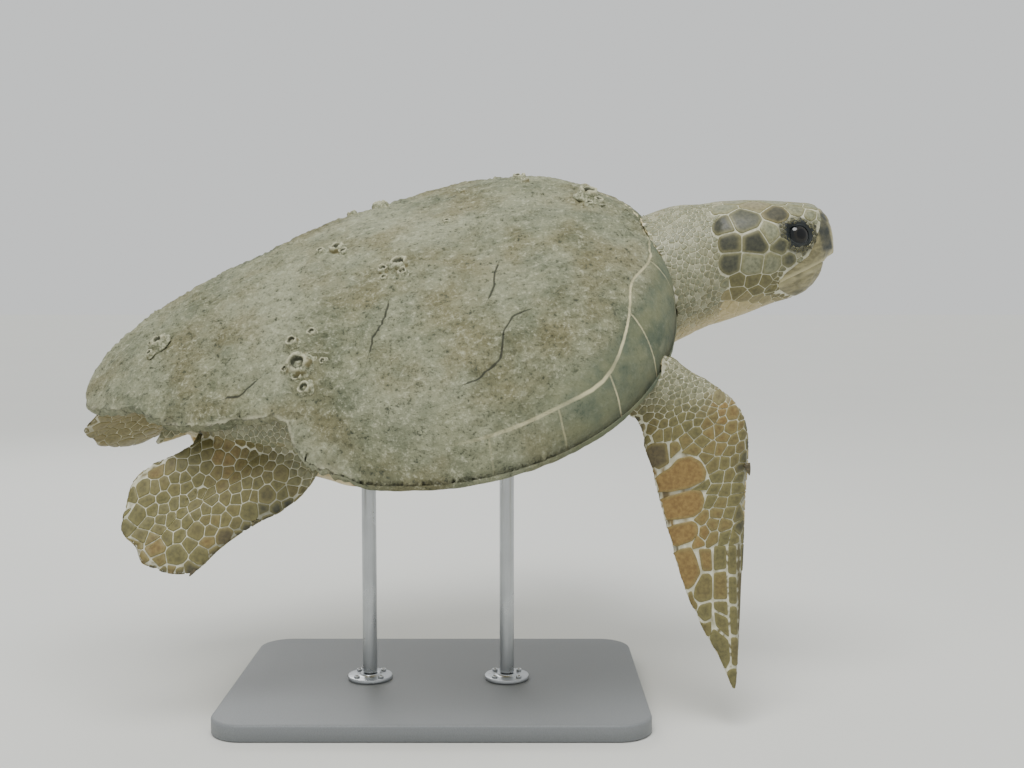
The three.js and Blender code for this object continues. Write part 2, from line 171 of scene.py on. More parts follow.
def net(rows, columns):
    """The quads of a net whose rows are rings."""
    row, column = np.meshgrid(np.arange(rows - 1), np.arange(columns), indexing="ij")
    a = row * columns + column
    b = row * columns + (column + 1) % columns
    return np.stack([a, b, b + columns, a + columns], -1).reshape(-1, 4)


def caps(rows, columns, start, end):
    """Triangles from a middle point to the first ring, and to the last."""
    ring = np.arange(columns)
    after = (ring + 1) % columns
    last = (rows - 1) * columns
    opening = np.stack([np.full(columns, start), after, ring], -1)
    closing = np.stack([np.full(columns, end), last + ring, last + after], -1)
    return np.concatenate([opening, closing])


def tube(rings):
    """Points and faces of a closed tube through rings of points, and a middle at each end."""
    rings = np.asarray(rings, float)
    rows, columns = rings.shape[:2]
    ends = np.stack([rings[0].mean(0), rings[-1].mean(0)])
    points = np.concatenate([rings.reshape(-1, 3), ends])
    count = rows * columns
    faces = net(rows, columns).tolist() + caps(rows, columns, count, count + 1).tolist()
    return points, faces


def volume(points, faces):
    """Volume inside a closed mesh, less than nothing when its faces point in."""
    total = 0.0
    for size in {len(face) for face in faces}:
        corners = points[np.array([face for face in faces if len(face) == size])]
        for i in range(1, size - 1):
            total += np.einsum("ij,ij->", corners[:, 0], np.cross(corners[:, i], corners[:, i + 1]))
    return total / 6


def linked(name, data):
    """A new object in the scene that shows a mesh, a lens or a lamp."""
    made = bpy.data.objects.new(name, data)
    bpy.context.scene.collection.objects.link(made)
    return made


def loose(name, points, faces):
    """A mesh object from points in millimetres, its faces pointing out."""
    faces = [tuple(face) for face in faces]
    if volume(points, faces) < 0:
        faces = [face[::-1] for face in faces]
    mesh = bpy.data.meshes.new(name)
    mesh.from_pydata((np.asarray(points) * MM).tolist(), [], faces)
    return linked(name, mesh)


def fix_shape(piece):
    """Makes what a piece's modifiers show its own mesh, and takes them off."""
    mesh = bpy.data.meshes.new_from_object(piece.evaluated_get(bpy.context.evaluated_depsgraph_get()))
    piece.modifiers.clear()
    piece.data = mesh


def smooth(piece):
    piece.data.polygons.foreach_set("use_smooth", [True] * len(piece.data.polygons))


def new_piece(name, points, faces, finish, sharp=None):
    """A smooth piece in its finish, riding on root."""
    piece = loose(name, points, faces)
    smooth(piece)
    if sharp is not None:
        piece.data.set_sharp_from_angle(angle=math.radians(sharp))
    piece.data.materials.append(finish)
    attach(piece, "root")
    return piece


def set_values(piece, name, values):
    """One number for each point of a piece, which its finish can read."""
    values = np.asarray(values, np.float32)
    piece.data.attributes.new(name, "FLOAT", "POINT").data.foreach_set("value", values)


def joined(parts):
    """Several (points, faces) as one."""
    starts = np.cumsum([0] + [len(points) for points, _ in parts]).tolist()
    faces = [tuple(int(i) + start for i in face) for (_, some), start in zip(parts, starts)
             for face in some]
    return np.concatenate([points for points, _ in parts]), faces


print("a net of 3 rings of 8 has", len(net(3, 8)), "quads")

# %% [markdown]
# A finish is a material made of nodes. The little class below keeps the node work short:
# each method adds one node, joins it to what it is given, and hands back its result.

# %% Finishes
def linear(colour):
    """A colour written as 0-255 screen values, in the linear light that shaders use."""
    share = np.array(colour, float) / 255
    return (*np.where(share < 0.04045, share / 12.92, ((share + 0.055) / 1.055) ** 2.4), 1.0)


def give(socket, value):
    """Sets a socket, or joins it to another."""
    if isinstance(value, bpy.types.NodeSocket):
        socket.id_data.links.new(value, socket)
    else:
        socket.default_value = value


def add_node(tree, kind, inputs=None, **settings):
    made = tree.nodes.new(kind)
    for name, value in settings.items():
        setattr(made, name, value)
    for socket, value in (inputs or {}).items():
        give(made.inputs[socket], value)
    return made


class Finish:
    def __init__(self, name, **sockets):
        self.material = bpy.data.materials.new(name)
        self.material.use_nodes = True
        self.shader = self.material.node_tree.nodes["Principled BSDF"]
        self.place = self.node("ShaderNodeTexCoord").outputs["Object"]
        for socket, value in sockets.items():
            give(self.shader.inputs[socket.replace("_", " ")], value)

    def node(self, kind, inputs=None, **settings):
        return add_node(self.material.node_tree, kind, inputs, **settings)

    def noise(self, size, detail=3.0, stretch=(1, 1, 1), roughness=0.55):
        """Soft noise from 0 to 1 with lumps of the size given, in millimetres."""
        scale = tuple(1 / (size * MM * s) for s in stretch)
        place = self.node("ShaderNodeMapping", {"Vector": self.place, "Scale": scale})
        inputs = {"Vector": place.outputs[0], "Scale": 1.0, "Detail": detail, "Roughness": roughness}
        return self.node("ShaderNodeTexNoise", inputs).outputs[0]

    def value(self, name):
        """The number that a piece carries at each point under this name."""
        return self.node("ShaderNodeAttribute", attribute_name=name).outputs["Fac"]

    def between(self, value, low, high, to_low=0.0, to_high=1.0):
        inputs = {"Value": value, "From Min": low, "From Max": high,
                  "To Min": to_low, "To Max": to_high}
        return self.node("ShaderNodeMapRange", inputs, interpolation_type="SMOOTHSTEP").outputs[0]

    def maths(self, way, a, b):
        return self.node("ShaderNodeMath", {0: a, 1: b}, operation=way).outputs[0]

    def times(self, a, b):
        return self.maths("MULTIPLY", a, b)

    def mix(self, share, under, over):
        """Colour under with a share of colour over it."""
        colours = [c if isinstance(c, bpy.types.NodeSocket) else linear(c) for c in (under, over)]
        inputs = {0: share, 6: colours[0], 7: colours[1]}
        return self.node("ShaderNodeMix", inputs, data_type="RGBA").outputs[2]

    def tones(self, noise, under, over, low=0.3, high=0.7):
        """From one colour to another as a noise goes from low to high."""
        return self.mix(self.between(noise, low, high), under, over)

    def bump(self, height, depth, normal=None):
        """Relief of the depth given, in millimetres, on top of any before it."""
        inputs = {"Height": height, "Distance": depth * MM}
        if normal is not None:
            inputs["Normal"] = normal
        return self.node("ShaderNodeBump", inputs).outputs[0]

    def done(self, colour, normal=None, roughness=None):
        for socket, value in (("Base Color", colour), ("Normal", normal), ("Roughness", roughness)):
            if value is not None:
                give(self.shader.inputs[socket], value)
        return self.material


print("finishes are ready")

# %% [markdown]
# The camera looks at the turtle's right flank from a little ahead of its middle. The lens and
# the slight look down are those of a diver level with the animal.

# %% Camera
CAMERA_AT = (0.113, -1.9, 0.61)
LOOK_DOWN = math.radians(4)
SENSOR, LENS = 36, 44.1

lens = bpy.data.cameras.new("camera")
lens.lens, lens.sensor_width = LENS, SENSOR
camera = linked("camera", lens)
camera.location = CAMERA_AT
camera.rotation_euler = (math.pi / 2 - LOOK_DOWN, 0, 0)
bpy.context.scene.camera = camera
print("camera", CAMERA_AT, "looks down", round(math.degrees(LOOK_DOWN), 1), "degrees")

# %% [markdown]
# A wide pale floor and a pale sky stand in for a studio. A broad sun, high up, does what the
# water's surface does to the living animal. A lamp over the near side keeps the shade soft,
# and one behind draws the outline.

# %% Floor and light
def lamp(name, kind, at, aim, watts, colour=(1, 1, 1), **settings):
    light = bpy.data.lights.new(name, kind)
    light.energy, light.color = watts, colour
    for setting, value in settings.items():
        setattr(light, setting, value)
    holder = linked(name, light)
    holder.location = at
    holder.rotation_euler = (Vector(aim) - Vector(at)).to_track_quat("-Z", "Y").to_euler()


FLOOR_REACH = 40.0
pale = Finish("floor_pale", Roughness=0.9)
pale.done(pale.mix(pale.noise(900, 2), (216, 216, 211), (211, 212, 208)))
floor_mesh = bpy.data.meshes.new("floor")
corners = [(x * FLOOR_REACH, y * FLOOR_REACH, -0.001) for x, y in ((-1, -1), (1, -1), (1, 1), (-1, 1))]
floor_mesh.from_pydata(corners, [], [(0, 1, 2, 3)])
floor_mesh.materials.append(pale.material)
floor = linked("floor", floor_mesh)
floor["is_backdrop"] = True

world = bpy.data.worlds.new("studio")
world.use_nodes = True
world.node_tree.nodes["Background"].inputs["Color"].default_value = (0.88, 0.90, 0.90, 1)
world.node_tree.nodes["Background"].inputs["Strength"].default_value = 0.92
bpy.context.scene.world = world
lamp("skylight", "SUN", (-0.6, -1.4, 3.2), (0, 0, 0.5), 1.5, (1, 0.99, 0.96), angle=math.radians(28))
lamp("overhead", "AREA", (0.2, -1.0, 2.6), (0.1, 0, 0.6), 26, shape="DISK", size=1.2)
lamp("back_rim", "AREA", (-1.2, 2.8, 2.4), (0, 0, 0.6), 30, shape="DISK", size=1.8)
print("floor and lamps are set")

# %% [markdown]
# ## The carapace
# The upper shell is a bony dome under thin horn plates. Its law is the one its solid has: a
# smooth outline, and a height that falls from the crown to the margin, steeply in front and
# slowly behind. The right hind margin was bitten long ago and has healed.

# %% The law of the shell
SHELL = {"length": 895, "width": 684, "dome": 174, "thick": 18, "rim": 12, "depth": 108}
CROWN_X = 160
BREADTH = through((0, 1.32), (14, 1.32), (30, 1.29), (50, 1.23), (75, 1.11), (100, 0.94),
                  (122, 0.85), (180, 0.8))
HEALED = through((94, 1), (101, 0.985), (105, 0.955), (108, 0.905), (112, 0.89), (118, 0.905),
                 (126, 0.93), (134, 0.945), (148, 0.942), (155, 0.965), (162, 0.99), (168, 1))


def frame_at(origin, turn):
    """A place and a turn as one matrix."""
    return np.array(Matrix.Translation(origin) @ turn)


def placed(where, points):
    return np.asarray(points) @ where[:3, :3].T + where[:3, 3]


def unplaced(where, points):
    return (np.asarray(points) - where[:3, 3]) @ where[:3, :3]


def rolled(degrees, axis):
    return Matrix.Rotation(math.radians(degrees), 4, axis)


SHELL_FRAME = frame_at((-87, 0, 537), rolled(-8.5, "Y") @ rolled(30, "X"))


def off_the_head(angle):
    """How far a direction is off the head's, in degrees, on either side."""
    turned = np.degrees(angle) % 360
    return np.minimum(turned, 360 - turned)


def reach(angle):
    """The share of the way from crown to margin that the plate still covers."""
    degrees = np.degrees(angle) % 360
    return np.where(degrees < 180, HEALED(degrees), 1.0)


def bitten(angle):
    """1 along the bitten stretch of the margin, 0 elsewhere."""
    degrees = np.degrees(angle)
    return smoothstep(92, 100, degrees) * smoothstep(176, 166, degrees)


def dome_height(share, angle):
    ahead, behind = (np.maximum(0, way * np.cos(angle)) ** 1.5 for way in (1, -1))
    weights = ahead, 1 - ahead - behind, behind
    square, round_, sheer = (sum(w * v for w, v in zip(weights, values))
                             for values in ((3, 2.28, 1.95), (0.4, 0.67, 0.79), (22, 0, 5)))
    fall = np.maximum(0, 1 - share**square) ** round_
    return SHELL["dome"] * fall + sheer * share**4


def shell_point(share, angle):
    """A point of the upper face in the shell's frame."""
    share, angle = np.broadcast_arrays(np.asarray(share, float), angle)
    edge_x = SHELL["length"] / 2 * np.cos(angle)
    edge_y = -SHELL["width"] / 2 * np.sin(angle) * BREADTH(off_the_head(angle))
    x = CROWN_X + (edge_x - CROWN_X) * share
    return spots_at(x, edge_y * share, dome_height(share, angle))


def shell_normal(share, angle):
    """The outward direction of the upper face."""
    share = np.clip(share, 0.02, 0.97)
    inward = shell_point(share - 0.01, angle) - shell_point(share, angle)
    around = shell_point(share, angle + 0.01) - shell_point(share, angle)
    up = np.cross(inward, around)
    up *= np.sign(up[..., 2:]) / np.linalg.norm(up, axis=-1, keepdims=True)
    return up


print("shell height over its margin:", round(float(dome_height(0.0, 0.0))), "mm")

# %% [markdown]
# Horn plates, the scutes, cover the bone: five down the middle, five on each flank and
# twelve round each margin. Their seams are drawn in plan as lines of corners. The relief
# and the pale seam stain both follow from how far a point is from the nearest seam.

# %% Seams between the scutes
MARGIN_SEAM = through((0, 0.885), (11, 0.89), (17, 0.86), (23, 0.84), (31, 0.89), (43, 0.95),
                      (56, 0.945), (82, 0.945), (110, 0.93), (140, 0.92), (165, 0.9), (180, 0.89))
MARGIN_CUTS = (11, 30, 43, 56, 70, 82, 95, 108, 121, 134, 147, 163)
KEEL_SIDE = ((405, 48), (300, 70), (225, 60), (150, 85), (80, 60), (0, 88), (-80, 60),
             (-155, 80), (-230, 50), (-290, 65), (-380, 34))
KEEL_CUTS = (225, 80, -80, -230)
FLANK_CUTS = (((300, 70), 37), ((150, 85), 62), ((0, 88), 90), ((-155, 80), 118), ((-290, 65), 150))


def in_plan(share, degrees):
    """Where a share and an angle lie, seen from above the shell."""
    return shell_point(share, np.radians(degrees))[..., :2]


def seam_lines():
    """Every seam as (line of plan points, whether it borders the margin's scutes)."""
    round_margin = np.arange(0, 361, 3)
    lines = [(in_plan(MARGIN_SEAM(off_the_head(np.radians(round_margin))), round_margin), True)]
    for side in (1, -1):
        lines += [(in_plan(np.array([MARGIN_SEAM(cut), 1.0]), side * cut), True)
                  for cut in MARGIN_CUTS]
        lines.append(([(x, -side * y) for x, y in KEEL_SIDE], False))
        for (x, y), cut in FLANK_CUTS:
            foot = in_plan(MARGIN_SEAM(cut), side * cut)
            start = np.array((x, -side * y), float)
            bend = (start + foot) / 2 + (0.04 * (foot[1] - start[1]), 0)
            lines.append(([start, bend, foot], False))
    lines += [([(x, -60), (x + 8, 0), (x, 60)], False) for x in KEEL_CUTS]
    return lines


def beside_line(spots, line):
    """How far plan points are from a line of corners, less than nothing on its right side."""
    nearest, line = np.full(len(spots), np.inf), np.array(line, float)
    for start, end in zip(line[:-1], line[1:]):
        way, arm = end - start, spots - start
        share = np.clip(arm @ way / (way @ way), 0, 1)
        away = lengths(arm - share[:, None] * way)
        turn = way[0] * arm[:, 1] - way[1] * arm[:, 0]
        nearest = np.where(away < abs(nearest), np.copysign(away, turn), nearest)
    return nearest


def distance_to_line(spots, line):
    return np.abs(beside_line(spots, line))


print(len(seam_lines()), "seams, in", len(MARGIN_CUTS) * 2, "marginal and", 15, "other scutes")

# %% [markdown]
# The old shell is crusted with lime, algae and grit, thickest over the back and thin on the
# front margins, where the horn still shows its cream seams. Low rises, crust, grit, grooves
# and cracks are added up as one height, and the point is moved by it square to the dome.

# %% Relief of the carapace
CRACKS = (
    ((196, -112), (190, -130), (188, -152), (178, -176)),
    ((226, -206), (206, -216), (192, -236), (188, -254), (182, -272), (160, -286), (136, -292)),
    ((42, -148), (34, -172), (18, -196), (12, -214)),
    ((-150, -196), (-176, -204), (-196, -200)),
)
SCARS = (((330, -110), 16), ((296, -74), 20), ((354, -92), 12), ((-40, -240), 13))


def scute_heights(spots):
    """Groove depth of the seams, and the nearest seam's distance."""
    groove, nearest = np.zeros(len(spots)), np.full(len(spots), np.inf)
    wander = 2.2 * rough(np.c_[spots, np.zeros(len(spots))], 24, 5, 2)
    ahead = smoothstep(60, 300, spots[:, 0])
    for line, marginal in seam_lines():
        away = np.abs(distance_to_line(spots, line) + wander * (0.3 if marginal else 1.0))
        strength = 0.35 + 0.65 * ahead if marginal else 0.3 + 0.25 * ahead
        groove = np.maximum(groove, strength * bell((away, 0, 2.2)))
        nearest = np.minimum(nearest, away)
    return groove, nearest


def carapace_relief(share, angle, points):
    """Height of the relief at each point in millimetres, and the stains that go with it."""
    spots = points[:, :2]
    groove, nearest = scute_heights(spots)
    clean = smoothstep(0.86, 0.93, share) * smoothstep(150, 300, spots[:, 0])
    patchy = smoothstep(-0.5, 0.5, lumps(points, 110, 11) + 0.4 * lumps(points, 45, 12))
    crust = (1 - 0.8 * clean) * (0.45 + 0.55 * patchy)
    rise = 2.6 * rough(points, 130, 1, 2) + 1.1 * smoothstep(0, 60, nearest)
    grit = 1.5 * rough(points, 21, 21, 2) + 2.0 * rough(points * (1, 1.5, 1), 8.5, 31, 2)
    crack = np.full(len(points), np.inf)
    for line in CRACKS:
        away = beside_line(spots, line) + 1.2 * lumps(points, 14, 41)
        crack = np.where(abs(away) < abs(crack), away, crack)
    cracked = bell((crack, 0, 2.4))
    ring, *cuts = [line for line, marginal in seam_lines() if marginal]
    cut = np.min([distance_to_line(spots, line) for line in cuts], axis=0)
    sector = np.searchsorted(MARGIN_CUTS, off_the_head(angle))
    scar = np.zeros(len(points))
    for middle, radius in SCARS:
        out = lengths(spots - middle) / radius + 0.12 * lumps(points, 12, 43)
        scar += 1.3 * bell((out, 1, 0.16)) - 1.2 * smoothstep(1.0, 0.7, out)
    chipped = smoothstep(0.965, 1.0, share / reach(angle)) * (0.35 + 0.65 * bitten(angle))
    chips = chipped * (0.6 + 0.6 * lumps(points, 13, 51))
    height = rise + crust * grit - 1.5 * groove - 1.8 * cracked + scar - 1.6 * chips
    stains = {
        "ring": beside_line(spots, ring), "cut": cut * (-1.0) ** sector, "crack": crack,
        "ahead": smoothstep(60, 300, spots[:, 0]) * (0.75 + 0.35 * lumps(points, 26, 61)),
        "clean": clean, "chips": np.clip(chips, 0, 1),
    }
    return height, stains


print(len(CRACKS), "cracks and", len(SCARS), "scars")

# %% [markdown]
# A dome could be a net of rings, but rings crowd at the crown. A square net wrapped onto a
# disc keeps its cells nearly even: each square around the middle becomes a circle. Its edge
# then goes round the worn rim, under it, and back to the middle beneath.

# %% Carapace
def disc_net(side):
    """Shares and angles of a square net wrapped onto a disc, its quads and its edge in order."""
    line = np.linspace(-1, 1, side)
    u, v = np.meshgrid(line, line, indexing="ij")
    share = np.maximum(abs(u), abs(v))
    wide = abs(u) >= abs(v)
    safe = np.where(share > 0, np.where(wide, u, v), 1)
    turn = np.pi / 4 * np.where(wide, v, u) / safe
    x = safe * np.where(wide, np.cos(turn), np.sin(turn))
    y = safe * np.where(wide, np.sin(turn), np.cos(turn))
    spots = np.arange(side * side).reshape(side, side)
    quads = np.stack([spots[:-1, :-1], spots[1:, :-1], spots[1:, 1:], spots[:-1, 1:]], -1)
    edge = np.concatenate([spots[:-1, 0], spots[-1, :-1], spots[:0:-1, -1], spots[0, :0:-1]])
    return share.ravel(), np.arctan2(y, x).ravel(), quads.reshape(-1, 4), edge


def rim_and_underside(points, edge, rings, middle):
    """Faces that carry a net's edge on through more rings to a middle point."""
    columns, first = len(edge), len(points)
    rows = np.concatenate([edge[None], first + np.arange(len(rings) * columns).reshape(-1, columns)])
    after = np.roll(rows, -1, axis=1)
    quads = np.stack([rows[:-1], after[:-1], after[1:], rows[1:]], -1).reshape(-1, 4)
    points = np.concatenate([points, *rings, [middle]])
    fan = [(a, b, len(points) - 1) for a, b in zip(rows[-1], after[-1])]
    return points, quads.tolist() + fan


CARAPACE_SIDE = 286
share, angle, quads, edge = disc_net(CARAPACE_SIDE)
angle = angle % (2 * np.pi)
nibbled = bitten(angle) * abs(rough(shell_point(share, angle), 19, 75, 2))
worn = share * reach(angle) * (1 - 0.012 * nibbled * share**12)
top = shell_point(worn, angle)
height, stains = carapace_relief(worn, angle, top)
out = shell_normal(worn, angle)
top += out * (height * smoothstep(1.0, 0.985, share) + (share > 0.999) * height * 0.3)[:, None]
brink, brink_angle = top[edge], angle[edge]
inward = np.array([CROWN_X, 0, 0]) - brink
inward[:, 2] = 0
inward = unit(inward)
ragged = ((1 + bitten(brink_angle)) * rough(brink, 16, 71))[:, None]
rings = [brink + inward * (into + ragged * down) - (0, 0, SHELL["rim"] * down)
         for down, into in ((0.12, -0.4), (0.35, -0.6), (0.65, 0.4), (0.92, 3.0), (1.0, 7.5))]
for part in (0.93, 0.86, 0.74, 0.55):
    under = worn[edge] * part
    sunk = shell_normal(under, brink_angle) * (SHELL["thick"] - rough(brink, 50, 73)[:, None])
    rings.append(shell_point(under, brink_angle) - sunk)
middle = (CROWN_X, 0, SHELL["dome"] - SHELL["thick"])
points, more = rim_and_underside(top, edge, rings, middle)
beyond = len(points) - len(top)
carapace_faces = quads.tolist() + more
carapace_points = placed(SHELL_FRAME, points)
print("carapace:", len(points), "points")

# %% [markdown]
# The crust's colours go from pale lime on the grit to dark olive, painted shade, in the hollows,
# with a brown-green film in patches, and the cracks are painted dark as shade. The front
# margins stay darker and smoother, with cream seams.

# %% Carapace finish
f = Finish("shell_crust", Roughness=0.88)
broad, middling = f.noise(150, 3), f.noise(42, 4)
coarse, gritty = f.noise(13, 4, (1.15, 1, 1), 0.7), f.noise(4.4, 4, roughness=0.75)
film = f.between(f.noise(85, 3, (1, 1.4, 1)), 0.42, 0.68)
crusted = f.maths("SUBTRACT", 1.0, f.times(f.value("clean"), 0.85))
grit = f.maths("ADD", f.times(coarse, 0.45), f.times(gritty, 0.55))
colour = f.tones(middling, (102, 108, 84), (142, 144, 114), 0.32, 0.7)
colour = f.tones(broad, colour, (156, 158, 130), 0.35, 0.7)
colour = f.mix(f.times(film, 0.55), colour, (116, 106, 66))
colour = f.tones(grit, colour, (186, 186, 158), 0.5, 0.68)
# Dark olive where the grit is low: painted shade in the crust's hollows.
colour = f.tones(grit, colour, (70, 74, 58), 0.48, 0.36)
horn = f.tones(f.noise(30, 4, (1, 2, 1)), (66, 80, 66), (104, 108, 80))
colour = f.mix(f.times(f.value("clean"), 0.8), colour, horn)
ring = f.maths("ABSOLUTE", f.value("ring"), 0)
cut = f.between(f.maths("ABSOLUTE", f.value("cut"), 0), 1.9, 0.6)
cut = f.times(cut, f.between(f.value("ring"), -0.5, 1.5, 0, 0.6))
cream = f.maths("MAXIMUM", f.between(ring, 1.9, 0.7), cut)
colour = f.mix(f.times(cream, f.value("ahead")), colour, (216, 208, 166))
# Dark along each crack: painted shade in the crack.
crack = f.between(f.maths("ABSOLUTE", f.value("crack"), 0), 2.2, 0.7, 0, 0.85)
colour = f.mix(crack, colour, (44, 46, 36))
colour = f.mix(f.between(f.value("chips"), 0.25, 0.8, 0, 0.7), colour, (178, 176, 148))
normal = f.bump(f.times(coarse, crusted), 6.0)
normal = f.bump(f.times(gritty, crusted), 3.4, normal)
normal = f.bump(f.noise(1.8, 3), 0.7, normal)
shell_finish = f.done(colour, normal)

carapace = new_piece("carapace_shell", carapace_points, carapace_faces, shell_finish)
for name, values in stains.items():
    on_rim = np.resize(values[edge], beyond) if name in ("clean", "ahead") else np.full(beyond, 99.0)
    set_values(carapace, name, np.concatenate([values, on_rim * (name != "chips")]))
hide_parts("carapace")
print("carapace:", len(carapace.data.polygons), "faces")

# %% [markdown]
# ## What grows on the shell
# Turtle barnacles are squat cones of six plates round a mouth with a lid. One rule draws a
# barnacle of any size: rings from its skirt up to the toothed rim and down inside.

# %% One barnacle
def barnacle_shape(radius, seed, sides):
    """Points and faces of a barnacle standing on z = 0, irregular in its own way."""
    profile = ((1.3, -0.2), (1.16, 0.04), (1.02, 0.14), (0.96, 0.3), (0.92, 0.5), (0.84, 0.68),
               (0.78, 0.86), (0.68, 1.04), (0.58, 1.02), (0.5, 0.8), (0.44, 0.55), (0.37, 0.42),
               (0.2, 0.5))
    angle = round_angles(sides)
    turn = angle + 0.5 * scrambled(np.array([seed, 2, 3]), 5)
    seam = bell(((turn * 3 / np.pi) % 2, 1, 0.22))
    ribs = 0.5 + 0.5 * np.cos(turn * 30)
    rings = []
    for r, h in profile:
        wall = smoothstep(0.5, 0.75, r)
        spread = r * (1 - 0.11 * wall * seam + 0.045 * wall * ribs)
        rise = h * 0.82 - (0.26 * seam + 0.08 * ribs) * smoothstep(0.7, 1, h)
        ring = spots_at(spread * np.cos(angle), spread * np.sin(angle), rise)
        uneven = lumps(ring * 10, 4.2, seed)[:, None] * (0.09, 0.09, 0.06)
        uneven += lumps(ring * 10, 1.3, seed + 40)[:, None] * (0.03, 0.03, 0.05)
        rings.append(ring * (1.08, 0.92, 1) + uneven)
    points, faces = tube(rings)
    return points * radius, faces


def standing(share, degrees):
    """A frame on the carapace with its third axis square to the shell."""
    angle = math.radians(degrees)
    normal = Vector(shell_normal(share, angle))
    sideways = normal.cross(Vector((1, 0, 0))).normalized()
    axes = Matrix((normal.cross(sideways) * -1, sideways, normal)).transposed().to_4x4()
    return SHELL_FRAME @ frame_at(shell_point(share, angle), axes)


sample, _ = barnacle_shape(14, 1, 60)
print("a barnacle of radius 14 stands", round(float(sample[:, 2].max()), 1), "mm high")

# %% [markdown]
# Barnacle shell is chalky: pale lime on the ribs and grey-green film between them, with painted
# shade dark in the mouth. Each point carries how far it is in the mouth and on the lip, for the finish.

# %% Barnacles
f = Finish("barnacle_lime", Roughness=0.92)
chalk = f.noise(3.0, 5, roughness=0.65)
colour = f.tones(chalk, (104, 108, 84), (178, 178, 150), 0.35, 0.65)
colour = f.tones(f.noise(14, 3), colour, (112, 106, 74), 0.5, 0.7)
colour = f.mix(f.value("lip"), colour, (186, 184, 154))
# Painted shade inside the mouth of the cone.
colour = f.mix(f.value("mouth"), colour, (60, 62, 48))
lime = f.done(colour, f.bump(chalk, 0.7))

BARNACLES = {"crown": (0.28, 116, 14), "keel": (0.32, 190, 12), "flank": (0.73, 113, 19),
             "rear": (0.78, 168, 13), "shoulder": (0.955, 324, 17), "far": (0.75, 266, 13)}


def limed(piece, points, radius):
    """Painted shade dark in the mouth of a barnacle drawn upright, and pale along its worn lip."""
    out, up = lengths(points[:, :2]) / radius, points[:, 2] / radius
    set_values(piece, "mouth", smoothstep(0.58, 0.46, out) * smoothstep(0.15, 0.34, out) * 0.9)
    set_values(piece, "lip", smoothstep(0.6, 0.82, up) * 0.9)


for seed, (name, (place, degrees, radius)) in enumerate(BARNACLES.items()):
    points, faces = barnacle_shape(radius, seed + 1, 72)
    barnacle = new_piece("encrusted_" + name, placed(standing(place, degrees), points), faces, lime)
    limed(barnacle, points, radius)
    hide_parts("barnacle_" + name)
print(len(BARNACLES), "large barnacles")

# %% [markdown]
# Small things that repeat are set by Geometry Nodes. One tree does it for the little
# barnacles here and for the screws of the stand: it puts a copy of a thing on every point,
# stands it along the point's own direction, scales it, and turns it by a seeded chance.

# %% Things on points
def set_on_points():
    tree = bpy.data.node_groups.new("set_on_points", "GeometryNodeTree")
    for name, kind in (("Points", "Geometry"), ("Thing", "Object"), ("Turn", "Float"), ("Seed", "Int"),
                       ("Finish", "Material")):
        tree.interface.new_socket(name, in_out="INPUT", socket_type="NodeSocket" + kind)
    tree.interface.new_socket("Result", in_out="OUTPUT", socket_type="NodeSocketGeometry")

    def add(kind, inputs=None, **settings):
        return add_node(tree, kind, inputs, **settings).outputs

    def attribute(name, kind):
        return add("GeometryNodeInputNamedAttribute", {"Name": name}, data_type=kind)["Attribute"]

    given = add("NodeGroupInput")
    thing = add("GeometryNodeObjectInfo", {"Object": given["Thing"]}, transform_space="ORIGINAL")
    up = attribute("up", "FLOAT_VECTOR")
    stand = add("FunctionNodeAlignRotationToVector", {"Vector": up}, axis="Z")
    copies = add("GeometryNodeInstanceOnPoints", {
        "Points": given["Points"], "Instance": thing["Geometry"], "Rotation": stand[0],
        "Scale": attribute("size", "FLOAT")})
    chance = add("FunctionNodeRandomValue", {3: given["Turn"], "Seed": given["Seed"]}, data_type="FLOAT")
    about = add("ShaderNodeCombineXYZ", {"Z": chance[1]})
    turned = add("GeometryNodeRotateInstances", {"Instances": copies[0], "Rotation": about[0]})
    real = add("GeometryNodeRealizeInstances", {0: turned[0]})
    painted = add("GeometryNodeSetMaterial", {"Geometry": real[0], "Material": given["Finish"]})
    add("NodeGroupOutput", {0: painted[0]})
    return tree


SET_ON_POINTS = set_on_points()


def set_things(name, thing, places, ups, sizes, finish):
    """A piece with one copy of the thing at each place (in millimetres)."""
    made = loose(name, places, [])
    marks = made.data.attributes
    marks.new("up", "FLOAT_VECTOR", "POINT").data.foreach_set("vector", np.ravel(ups))
    marks.new("size", "FLOAT", "POINT").data.foreach_set("value", np.ravel(sizes))
    nodes = made.modifiers.new("set", "NODES")
    nodes.node_group = SET_ON_POINTS
    values = {"Thing": thing, "Turn": 2 * math.pi, "Seed": 1, "Finish": finish}
    for item in SET_ON_POINTS.interface.items_tree:
        if item.in_out == "INPUT" and item.name in values:
            nodes[item.identifier] = values[item.name]
    fix_shape(made)
    smooth(made)
    bpy.data.objects.remove(thing)
    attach(made, "root")
    return made


SMALL_BARNACLES = ((0.31, 122, 9), (0.32, 108, 9), (0.35, 115, 6), (0.30, 181, 8), (0.37, 196, 7),
                   (0.61, 118, 8), (0.65, 121, 10), (0.765, 111.5, 9), (0.80, 108, 11), (0.745, 116, 7),
                   (0.71, 108, 6), (0.71, 257, 10), (0.54, 260, 10), (0.55, 315, 12), (0.53, 319, 8),
                   (0.67, 345, 17), (0.70, 349, 9), (0.64, 351, 7), (0.71, 341, 8), (0.38, 290, 6),
                   (0.09, 249, 6), (0.97, 318, 9), (0.80, 171, 6), (0.81, 165, 7))
points, faces = barnacle_shape(1, 9, 30)
little = loose("little_barnacle", points, faces)
limed(little, points, 1)
spots = [(shell_point(place, math.radians(turn)), shell_normal(place, math.radians(turn)), size)
         for place, turn, size in SMALL_BARNACLES]
crowd = set_things("encrusted_small", little, placed(SHELL_FRAME, [spot for spot, _, _ in spots]),
                   [up @ SHELL_FRAME[:3, :3].T for _, up, _ in spots], [s for _, _, s in spots], lime)
print(len(SMALL_BARNACLES), "small barnacles,", len(crowd.data.polygons), "faces")

# %% [markdown]
# ## The plastron
# The belly plate is flat bone under cream horn. Its lobes and bridges are one outline, and
# the seams of its plates run across it in pairs from a seam down the middle.

